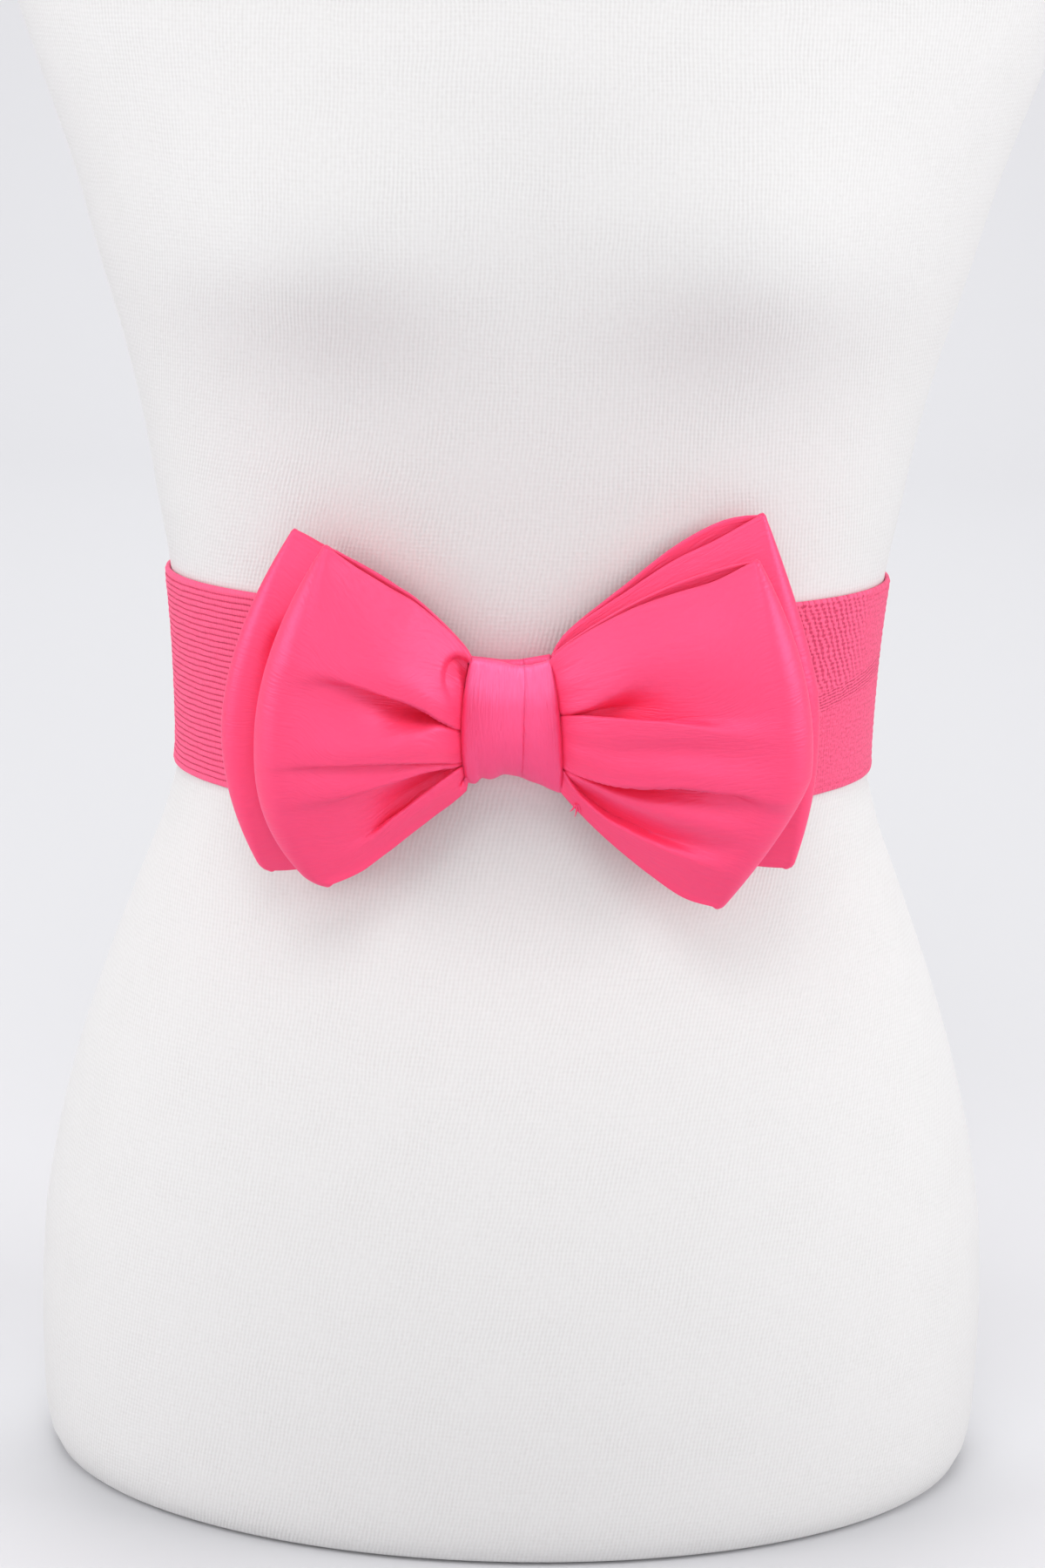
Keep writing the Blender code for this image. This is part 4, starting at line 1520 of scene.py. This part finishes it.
FRONT_LOOPS = (
    Loop(
        side=Side.LEFT, top_x=-61, top_height=324.8, bottom_x=-63, bottom_height=220,
        bulge=19, bulge_level=-0.1, lower_power=2.6, top_bow=4.9, bottom_bow=4.2,
        back_rise=1.4, fold_radius=10.5, corner_radius=1.7, seat=13.4, corner_seat=5, puff=6,
        round_top=0.4, round_bottom=4,
        top_wave=(0, -0.4, -0.8, -1.2, -1.4, -2.3, -1.9, 0),
        bottom_wave=(0, 0.4, 1, 2.2, 2.6, 1.8, 0.2, 0),
    ),
    Loop(
        side=Side.RIGHT, top_x=69.2, top_height=323.4, bottom_x=61.8, bottom_height=215.8,
        bulge=22.4, bulge_level=-0.2, lower_power=1.3, top_bow=3.7, bottom_bow=4.6,
        back_rise=1.2, fold_radius=10.5, corner_radius=1.5, seat=13.4, corner_seat=5, puff=6,
        round_top=0.5, round_bottom=1.2,
        front_wave=(0, 0, 0, -0.1, -0.3, -1.2, -2.1, 0),
        bottom_wave=(0, 0, 0, 0, 0, -0.4, -1.2, 0),
    ),
)

# Levels run from -1 at a loop's lower edge to 1 at its upper one; widths are in millimetres.
FRONT_CREASES = (
    Crease(  # the upper panel hangs over the middle one
        Side.LEFT, Layer.FRONT, Lip.UPPER,
        levels=(-0.055, 0.015, 0.11, 0.24, 0.31, 0.345, 0.345, 0.3),
        depths=(1.5, 3.5, 7.5, 10.5, 9, 5.5, 3, 0.8),
        softs=(1, 1, 1.2, 3.2, 8.5, 13, 14, 14),
        flats=(0.3, 0.3, 0.5, 2.9, 2.6, 1.5, 1, 1),
        turns=(0.5, 0.5, 0.6, 0.8, 1.3, 2, 3.4, 5),
        fullness=1.2,
    ),
    Crease(  # the middle panel's lower edge, a long thin line
        Side.LEFT, Layer.FRONT, Lip.UPPER,
        levels=(-0.555, -0.503, -0.43, -0.355, -0.305, -0.273, -0.263, -0.27),
        depths=(1, 1.8, 2.6, 3.2, 3, 2.5, 1.7, 0.5),
        softs=(0.7, 0.9, 1.4, 3, 4.6, 5.5, 6, 6),
        flats=(0.2, 0.3, 0.4, 0.6, 0.8, 1, 1, 1),
        turns=(0.4, 0.4, 0.45, 0.5, 0.5, 0.6, 0.8, 1.4),
        fullness=0.7,
    ),
    Crease(  # the narrow panel's lower edge, over the wedge
        Side.LEFT, Layer.FRONT, Lip.UPPER,
        levels=(-0.61, -0.577, -0.53, -0.5, -0.502, -0.515, -0.528, -0.53),
        depths=(0.8, 2.2, 5, 6, 4.8, 2.8, 1.3, 0.3),
        softs=(0.6, 0.9, 1.4, 3, 5, 8, 9, 9),
        flats=(0.2, 0.5, 2.4, 5, 5, 3, 2, 2),
        turns=(0.4, 0.4, 0.45, 0.5, 0.6, 1, 2, 3),
        overhang=0.2,
    ),
    Crease(  # the roll along the lower edge, which stands over the wedge
        Side.LEFT, Layer.FRONT, Lip.LOWER,
        levels=(-0.65, -0.662, -0.69, -0.755, -0.82, -0.87, -0.88, -0.88),
        depths=(0.8, 2.4, 5.4, 7, 5.6, 3, 1.2, 0.2),
        softs=(0.6, 0.9, 1.6, 3.6, 5.5, 8, 9, 9),
        flats=(0.2, 0.3, 1.2, 2.4, 3, 3, 2, 2),
        turns=(0.4, 0.4, 0.5, 0.6, 0.9, 2, 3.4, 4),
        fullness=0.4,
    ),
    Crease(  # the middle panel stands over the upper one
        Side.RIGHT, Layer.FRONT, Lip.LOWER,
        levels=(0.15, 0.185, 0.205, 0.19, 0.166, 0.15, 0.132, 0.12),
        depths=(1.2, 2.6, 5.4, 9, 7.5, 4.2, 2, 0.5),
        softs=(0.8, 0.9, 1.3, 3.4, 9, 14, 15, 15),
        flats=(0.2, 0.3, 0.6, 2, 2.4, 1.5, 1, 1),
        turns=(0.5, 0.5, 0.6, 0.8, 1.2, 2.2, 4, 5),
        fullness=0.6,
    ),
    Crease(  # its lower edge hangs over the next panel
        Side.RIGHT, Layer.FRONT, Lip.UPPER,
        levels=(-0.61, -0.592, -0.566, -0.515, -0.44, -0.35, -0.335, -0.38),
        depths=(1, 1.6, 3, 6.5, 8.5, 7.5, 5, 1.4),
        softs=(0.5, 0.6, 0.9, 1.8, 3.8, 7, 8.5, 9),
        flats=(0.1, 0.2, 0.2, 0.5, 1, 1.2, 1, 1),
        turns=(0.4, 0.4, 0.4, 0.5, 0.6, 0.9, 1.8, 3),
        fullness=1,
    ),
    Crease(  # the roll along the lower edge; a ridge stands above its valley
        Side.RIGHT, Layer.FRONT, Lip.LOWER,
        levels=(-0.66, -0.77, -0.83, -0.845, -0.82, -0.79, -0.76, -0.75),
        depths=(1, 2.8, 5.5, 7.5, 7, 5.8, 3.6, 0.8),
        softs=(0.6, 1.6, 3, 4.2, 4.4, 4.4, 4.4, 5),
        flats=(0.2, 0.3, 0.4, 0.5, 0.6, 0.6, 0.6, 0.6),
        turns=(0.4, 0.6, 0.9, 1.4, 1.7, 2, 2.6, 4),
        overhang=0.1,
    ),
    Crease(  # a shallow hollow along the middle panel
        Side.RIGHT, Layer.FRONT, Lip.NONE,
        levels=(-0.2, -0.2, -0.18, -0.15, -0.1, -0.08, -0.08, -0.1),
        depths=(0, 0.1, 0.2, 0.5, 1, 1.3, 0.9, 0.2),
        softs=(2, 2, 2.5, 3, 4, 5, 6, 6),
    ),
    Crease(
        Side.LEFT, Layer.BACK, Lip.NONE,
        levels=(0.3, 0.32, 0.35, 0.39, 0.41, 0.42, 0.4, 0.4),
        depths=(0.2, 0.6, 1.4, 2.2, 2, 1.2, 0.5, 0),
        softs=(2.5, 3, 4, 5.5, 7, 9, 10, 10),
    ),
    Crease(
        Side.LEFT, Layer.BACK, Lip.NONE,
        levels=(-0.4, -0.4, -0.42, -0.48, -0.53, -0.55, -0.55, -0.5),
        depths=(0.2, 0.6, 1.5, 2, 1.7, 0.9, 0.3, 0),
        softs=(2, 2.5, 3, 4.5, 6, 7.5, 9, 9),
    ),
    Crease(
        Side.RIGHT, Layer.BACK, Lip.NONE,
        levels=(0.1, 0.1, 0.12, 0.18, 0.22, 0.24, 0.22, 0.2),
        depths=(0.2, 0.6, 1.5, 2.3, 2.1, 1.3, 0.6, 0),
        softs=(2.5, 3, 3.5, 5, 7, 9, 10, 10),
    ),
    Crease(
        Side.RIGHT, Layer.BACK, Lip.NONE,
        levels=(-0.55, -0.55, -0.55, -0.51, -0.46, -0.42, -0.4, -0.4),
        depths=(0.2, 0.5, 1.2, 1.9, 1.7, 1, 0.4, 0),
        softs=(2, 2.5, 3, 4.5, 6.5, 8.5, 9, 9),
    ),
)
FRONT_TUCKS = (
    Tuck(  # beside the wrap, round the flap at its upper left
        Side.LEFT,
        reaches=(0, 0.045, 0.095, 0.128, 0.14, 0.13, 0.1, 0.056, 0.01),
        levels=(0.9, 0.865, 0.82, 0.75, 0.66, 0.56, 0.46, 0.36, 0.25),
        depths=(4.6, 5.2, 4.4, 3, 2, 1.4, 1, 0.6, 0.2),
        flap_side=0.8, panel_side=5.6,
    ),
    Tuck(  # a small notch in the roll along the lower edge
        Side.LEFT,
        reaches=(0, 0.02, 0.045), levels=(-0.82, -0.86, -0.91), depths=(1.6, 1.4, 0),
        flap_side=0.5, panel_side=0.5,
    ),
)
BACK_TUCKS = (
    Tuck(  # a hollow beside the front bow's outer fold
        Side.LEFT,
        reaches=(0.85, 0.87, 0.883, 0.89, 0.89, 0.89, 0.885, 0.87, 0.86),
        levels=(0.56, 0.5, 0.44, 0.34, 0.15, -0.1, -0.4, -0.7, -0.9),
        depths=(0, 2, 3.4, 2.6, 1.7, 1.2, 1.1, 0.7, 0.2),
        flap_side=4.6, panel_side=4,
    ),
)
BACK_CREASES = (
    Crease(
        Side.LEFT, Layer.FRONT, Lip.NONE,
        levels=(-0.5, -0.48, -0.45, -0.43, -0.41, -0.4, -0.4, -0.4),
        depths=(0.2, 0.4, 0.8, 1.1, 1.2, 1, 0.6, 0.1),
        softs=(3, 4, 5, 6, 8, 9, 10, 10),
    ),
    Crease(
        Side.RIGHT, Layer.FRONT, Lip.NONE,
        levels=(0.3, 0.3, 0.32, 0.35, 0.38, 0.4, 0.4, 0.4),
        depths=(0.2, 0.4, 0.9, 1.3, 1.4, 1.1, 0.6, 0.1),
        softs=(3, 4, 5, 6, 8, 9, 10, 10),
    ),
    Crease(
        Side.LEFT, Layer.BACK, Lip.NONE,
        levels=(0.4, 0.4, 0.4, 0.44, 0.47, 0.5, 0.5, 0.5),
        depths=(0.2, 0.5, 0.9, 1.2, 1.1, 0.7, 0.3, 0),
        softs=(3, 3.5, 4, 5, 6.5, 8, 9, 9),
    ),
    Crease(
        Side.RIGHT, Layer.BACK, Lip.NONE,
        levels=(-0.2, -0.2, -0.2, -0.17, -0.13, -0.1, -0.1, -0.1),
        depths=(0.2, 0.5, 0.9, 1.3, 1.2, 0.8, 0.3, 0),
        softs=(3, 3.5, 4, 5, 6.5, 8, 9, 9),
    ),
)


# ---------------------------------------------------------------- the wrap


WRAP_SECTION = (  # depths and shares of its height, down the front, up behind and over the top
    (16.6, 0.0), (16.35, -0.42), (15.6, -0.75), (14.5, -0.93), (12.9, -1.0), (9.0, -0.99),
    (3.6, -0.94), (1.5, -0.88), (0.9, -0.7), (0.9, 0.0), (0.9, 0.66), (1.5, 0.82),
    (4.0, 0.9), (8.0, 0.955), (10.3, 0.995), (11.4, 0.99), (12.5, 0.965), (13.5, 0.985),
    (14.5, 0.985), (15.3, 0.92), (16.05, 0.7), (16.5, 0.36),
)


@dataclass
class Wrap:
    """A strip of satin taken once round the bows and the elastic, with one upright fold."""

    place: BowPlace
    wall: float = 0.8
    top_shares: tuple[float, ...] = (0.0, 0.165, 0.41, 0.555, 0.66, 0.73, 0.85, 1.0)
    front_heights: tuple[float, ...] = (21.1, 20.9, 20.1, 19.5, 19.4, 19.5, 20.2, 21.1)
    rear_heights: tuple[float, ...] = (20.9, 20.6, 20.1, 20.2, 20.4, 20.7, 21.3, 22.0)
    ridge_depth: float = 12.8  # of the hollow between the front ridge and the rear one
    ridge_reach: float = 1.6  # over which the one passes into the other
    slit: float = 4.0  # depth of the open slit there, towards the right
    slit_width: float = 0.9
    slit_opens: tuple[float, float] = (0.4, 0.15)  # share of the width, and over how much of it
    slit_closes: tuple[float, float] = (0.92, 0.07)
    bottom_shares: tuple[float, ...] = (
        0.0, 0.08, 0.125, 0.16, 0.24, 0.285, 0.35, 0.4, 0.46, 0.555, 0.66, 0.78, 0.905, 1.0,
    )
    bottom_heights: tuple[float, ...] = (
        -17.4, -17.7, -16.4, -15.8, -16.2, -15.9, -14.9, -14.5, -14.7, -15.2, -16.5, -17.5,
        -19.1, -20.1,
    )
    side_depth: float = 8.0  # where its front begins
    side_reach: float = 6.0
    crown: float = 3.4
    roundness: float = 0.75  # share of the crown that is gone at its side edges
    crown_level: float = -0.15  # where it stands out most
    edge_drop: float = 0.9  # how far its side edges press in
    edge_power: float = 45.0  # the higher, the sharper they turn
    fold_share: float = 0.62
    fold_slant: float = 0.045
    fold_depth: float = 0.75
    fold_over: float = 0.45
    fold_turn: float = 0.35
    fold_flat: float = 0.3
    fold_soft: float = 5.0
    section_points: int = 150
    rows: int = 90
    fold_rows: float = 6.0  # how much closer the rows lie at the fold
    edge_rows: float = 4.0  # and at the side edges
    strip_length: float = 108.0
    strip_width: float = 34.0

    def shares(self) -> np.ndarray:
        """Places across the wrap, closer together at its fold and its edges.

        Returns:
            Shares of the width, from the left.
        """
        fine = np.linspace(0, 1, 801)
        density = 1 + self.fold_rows * hump(fine - self.fold_share, 0.05)
        density += self.edge_rows * hump(np.minimum(fine, 1 - fine), 0.02)
        return spread_out(fine, np.cumsum(density), self.rows)

    def build(self) -> None:
        """Make the wrap: its plain section first, then its slit, its crown and its fold."""
        section = closed_curve(np.array(WRAP_SECTION), self.section_points)
        depth, level = section[:, :1], section[:, 1:]
        share = self.shares()[None, :]
        front_top = smooth_through(self.top_shares, self.front_heights, share)
        rear_top = smooth_through(self.top_shares, self.rear_heights, share)
        forward = smooth_step((depth - self.ridge_depth) / self.ridge_reach + 0.5)
        top = rear_top + (front_top - rear_top) * forward
        bottom = smooth_through(self.bottom_shares, self.bottom_heights, share)
        height = np.where(level > 0, level * top, -level * bottom)
        opened, closed = (
            smooth_step((share - start) / length)
            for start, length in (self.slit_opens, self.slit_closes)
        )
        in_slit = hump(depth - self.ridge_depth, self.slit_width)
        height = height - self.slit * opened * (1 - closed) * in_slit * (level > 0.5)
        left, right = self.place.wrap_edge(-1, level), self.place.wrap_edge(1, level)
        x = left + (right - left) * share
        front = smooth_step((depth - self.side_depth) / self.side_reach)
        side = np.abs(2 * share - 1)
        reach = 1 - self.crown_level * np.sign(level - self.crown_level)
        barrel = 1 - np.abs((level - self.crown_level) / reach) ** 2
        crown = self.crown * barrel * (1 - self.roundness * side**2)
        at_edge = self.edge_drop + self.crown * barrel * (1 - self.roundness)
        out = front * (crown - at_edge * side**self.edge_power)
        fold_x = left + (right - left) * (self.fold_share + self.fold_slant * level)
        shape = FoldShape(
            self.fold_depth, self.fold_over, self.fold_turn, self.fold_flat, self.fold_soft
        )
        folded = fold_over(fold_x - x, shape)
        out = out - folded.drawn * front
        x = x - folded.shift * front
        middle = np.stack(
            [self.place.x + x, self.place.y(depth + out), self.place.height + height], axis=-1
        )
        half = np.full(x.shape, self.wall / 2)
        band = Band(middle, half, half, share[0] * self.strip_width)
        wrap = grid_object("bow_wrap_satin", band.grid(), True, SHEEN_PAINTED_SATIN)
        ride(wrap, "bow_satin", "bow_wrap")


@dataclass
class FrayedEnds:
    """A few threads that have come loose under the front bow, to the right of the wrap."""

    place: BowPlace
    root_x: float = 19.4  # from the bow's middle
    root_height: float = -23.1
    root_depth: float = 16.2
    radius: float = 0.5
    tip_radius: float = 0.1
    sides: int = 6
    rows: int = 7
    root_step: float = 0.3
    bend: float = 0.25  # how far it bows aside, as a share of its length
    ends: tuple[tuple[float, float], ...] = (  # their free ends, to the right and up from the root
        (-1.7, -2.3), (-0.5, -3.9), (0.9, -2.8), (2.4, -2.4),
    )

    def build(self) -> None:
        """Make the threads, thinner towards their free ends."""
        turn = np.arange(self.sides) * 2 * math.pi / self.sides
        share = np.linspace(0, 1, self.rows)
        radius = self.radius + (self.tip_radius - self.radius) * share
        depthwise = np.array([0.0, 1.0, 0.0])
        for number, (right, up) in enumerate(self.ends, 1):
            length = math.hypot(right, up)
            way = np.array([right, 0.0, up]) / length
            aside = np.cross(way, depthwise)
            root = np.array([
                self.place.x + self.root_x + self.root_step * number,
                self.place.y(self.root_depth),
                self.place.height + self.root_height,
            ])
            bent = aside * (self.bend * length * share * (1 - share))[:, None]
            middle = root + way * (length * share)[:, None] + bent
            ring = np.cos(turn)[:, None, None] * aside + np.sin(turn)[:, None, None] * depthwise
            points = middle[None] + ring * radius[None, :, None]
            along = np.arange(self.sides + 1) * self.radius
            grid = Grid(points, along, np.append(length * share, 0.0))
            thread = grid_object(f"bow_front_loose_thread_{number}", grid, False, SATIN)
            ride(thread, "bow_satin")


# ---------------------------------------------------------------- the studio


class SoftBox(NamedTuple):
    """A soft light: where it stands, how wide it is, its power, and what it faces, in metres."""

    name: str
    place: tuple[float, float, float]
    width: float
    watts: float
    target: tuple[float, float, float]


@dataclass
class Studio:
    """A pale paper sweep, soft lights and the camera."""

    view_height: float = 0.502
    view_y: float = -1.2016
    tilt: float = math.radians(12.75)
    roll: float = math.radians(1.3)
    lens: float = 85.12
    sensor: float = 36.0
    floor_front: float = -3.0
    wall_y: float = 2.4
    sweep_radius: float = 1.0
    sweep_steps: int = 17
    half_width: float = 4.0
    wall_height: float = 4.0
    world: str = "#ffffff"
    world_strength: float = 0.56
    lights: tuple[SoftBox, ...] = (
        SoftBox("key", (-0.2, -1.35, 1.9), 0.9, 10.5, (0.0, 0.0, 0.28)),
        SoftBox("front", (0.1, -2.0, 0.6), 1.1, 5.2, (0.0, 0.0, 0.28)),
        SoftBox("right", (1.5, -0.5, 0.9), 0.9, 13.2, (0.0, 0.0, 0.35)),
        SoftBox("left", (-1.5, -0.5, 0.9), 0.9, 11.2, (0.0, 0.0, 0.35)),
        SoftBox("backdrop", (0.0, 2.0, 2.6), 2.5, 53.0, (0.0, 2.0, 0.0)),
    )

    def sweep(self) -> None:
        """Make the floor, which curves up into the backdrop."""
        arc = np.linspace(0, math.pi / 2, self.sweep_steps)
        back = self.wall_y + self.sweep_radius
        y = [self.floor_front, *(self.wall_y + self.sweep_radius * np.sin(arc)), back]
        z = [0.0, *(self.sweep_radius * (1 - np.cos(arc))), self.wall_height]
        points = [(x, a, b) for a, b in zip(y, z) for x in (-self.half_width, self.half_width)]
        faces = [(2 * i, 2 * i + 1, 2 * i + 3, 2 * i + 2) for i in range(len(y) - 1)]
        mesh = bpy.data.meshes.new("paper_sweep")
        mesh.from_pydata(points, [], faces)
        finished_object(mesh, PAPER)

    def light(self, box: SoftBox) -> None:
        """Hang one soft light.

        Args:
            box: The light.
        """
        data = bpy.data.lights.new(box.name, "AREA")
        data.size, data.energy = box.width, box.watts
        lamp = in_scene(box.name, data)
        lamp.location = box.place
        towards = Vector(box.target) - Vector(box.place)
        lamp.rotation_euler = towards.to_track_quat("-Z", "Y").to_euler()

    def camera(self) -> None:
        """Set the camera at the photograph's angle, which leans a little."""
        data = bpy.data.cameras.new("camera")
        data.lens, data.sensor_width, data.sensor_fit = self.lens, self.sensor, "AUTO"
        camera = in_scene("camera", data)
        forward = Vector((0, math.cos(self.tilt), -math.sin(self.tilt)))
        level = Vector((1, 0, 0))
        above = level.cross(forward)
        right = level * math.cos(self.roll) + above * math.sin(self.roll)
        up = -level * math.sin(self.roll) + above * math.cos(self.roll)
        turned = Matrix((right, up, -forward)).transposed().to_4x4()
        camera.matrix_world = Matrix.Translation((0, self.view_y, self.view_height)) @ turned
        bpy.context.scene.camera = camera

    def build(self) -> None:
        """Set up the whole studio."""
        scene = bpy.context.scene
        scene.view_settings.view_transform = "Standard"
        world = bpy.data.worlds.new("studio")
        scene.world = world
        world.use_nodes = True
        background = world.node_tree.nodes["Background"]
        background.inputs["Color"].default_value = linear(self.world)
        background.inputs["Strength"].default_value = self.world_strength
        self.sweep()
        for box in self.lights:
            self.light(box)
        self.camera()


# ---------------------------------------------------------------- the whole


def main() -> None:
    """Build every piece in order, and the studio round them."""
    logging.basicConfig(level=logging.INFO)
    form = DressForm()
    form.build()
    place = BowPlace(form)
    ElasticBelt(place).build()
    Wrap(place).build()
    Bow(
        name="bow_back_satin", node="bow_back", place=place, loops=BACK_LOOPS,
        creases=BACK_CREASES, tucks=BACK_TUCKS, seat_at_wrap=6.0, layer_pitch=2.2,
        pinch_top=18.5, pinch_bottom=-16.5, band_length=330.0, band_height=108.0,
        rows=90, front_columns=50, back_columns=22, fold_columns=12,
    ).build()
    Bow(
        name="bow_front_satin", node="bow_front", place=place, loops=FRONT_LOOPS,
        creases=FRONT_CREASES, tucks=FRONT_TUCKS, seat_at_wrap=10.7, layer_pitch=3.8,
        pinch_top=21.0, pinch_bottom=-19.6, band_length=330.0, band_height=108.0,
    ).build()
    FrayedEnds(place).build()
    Studio().build()


if __name__ == "__main__":
    main()
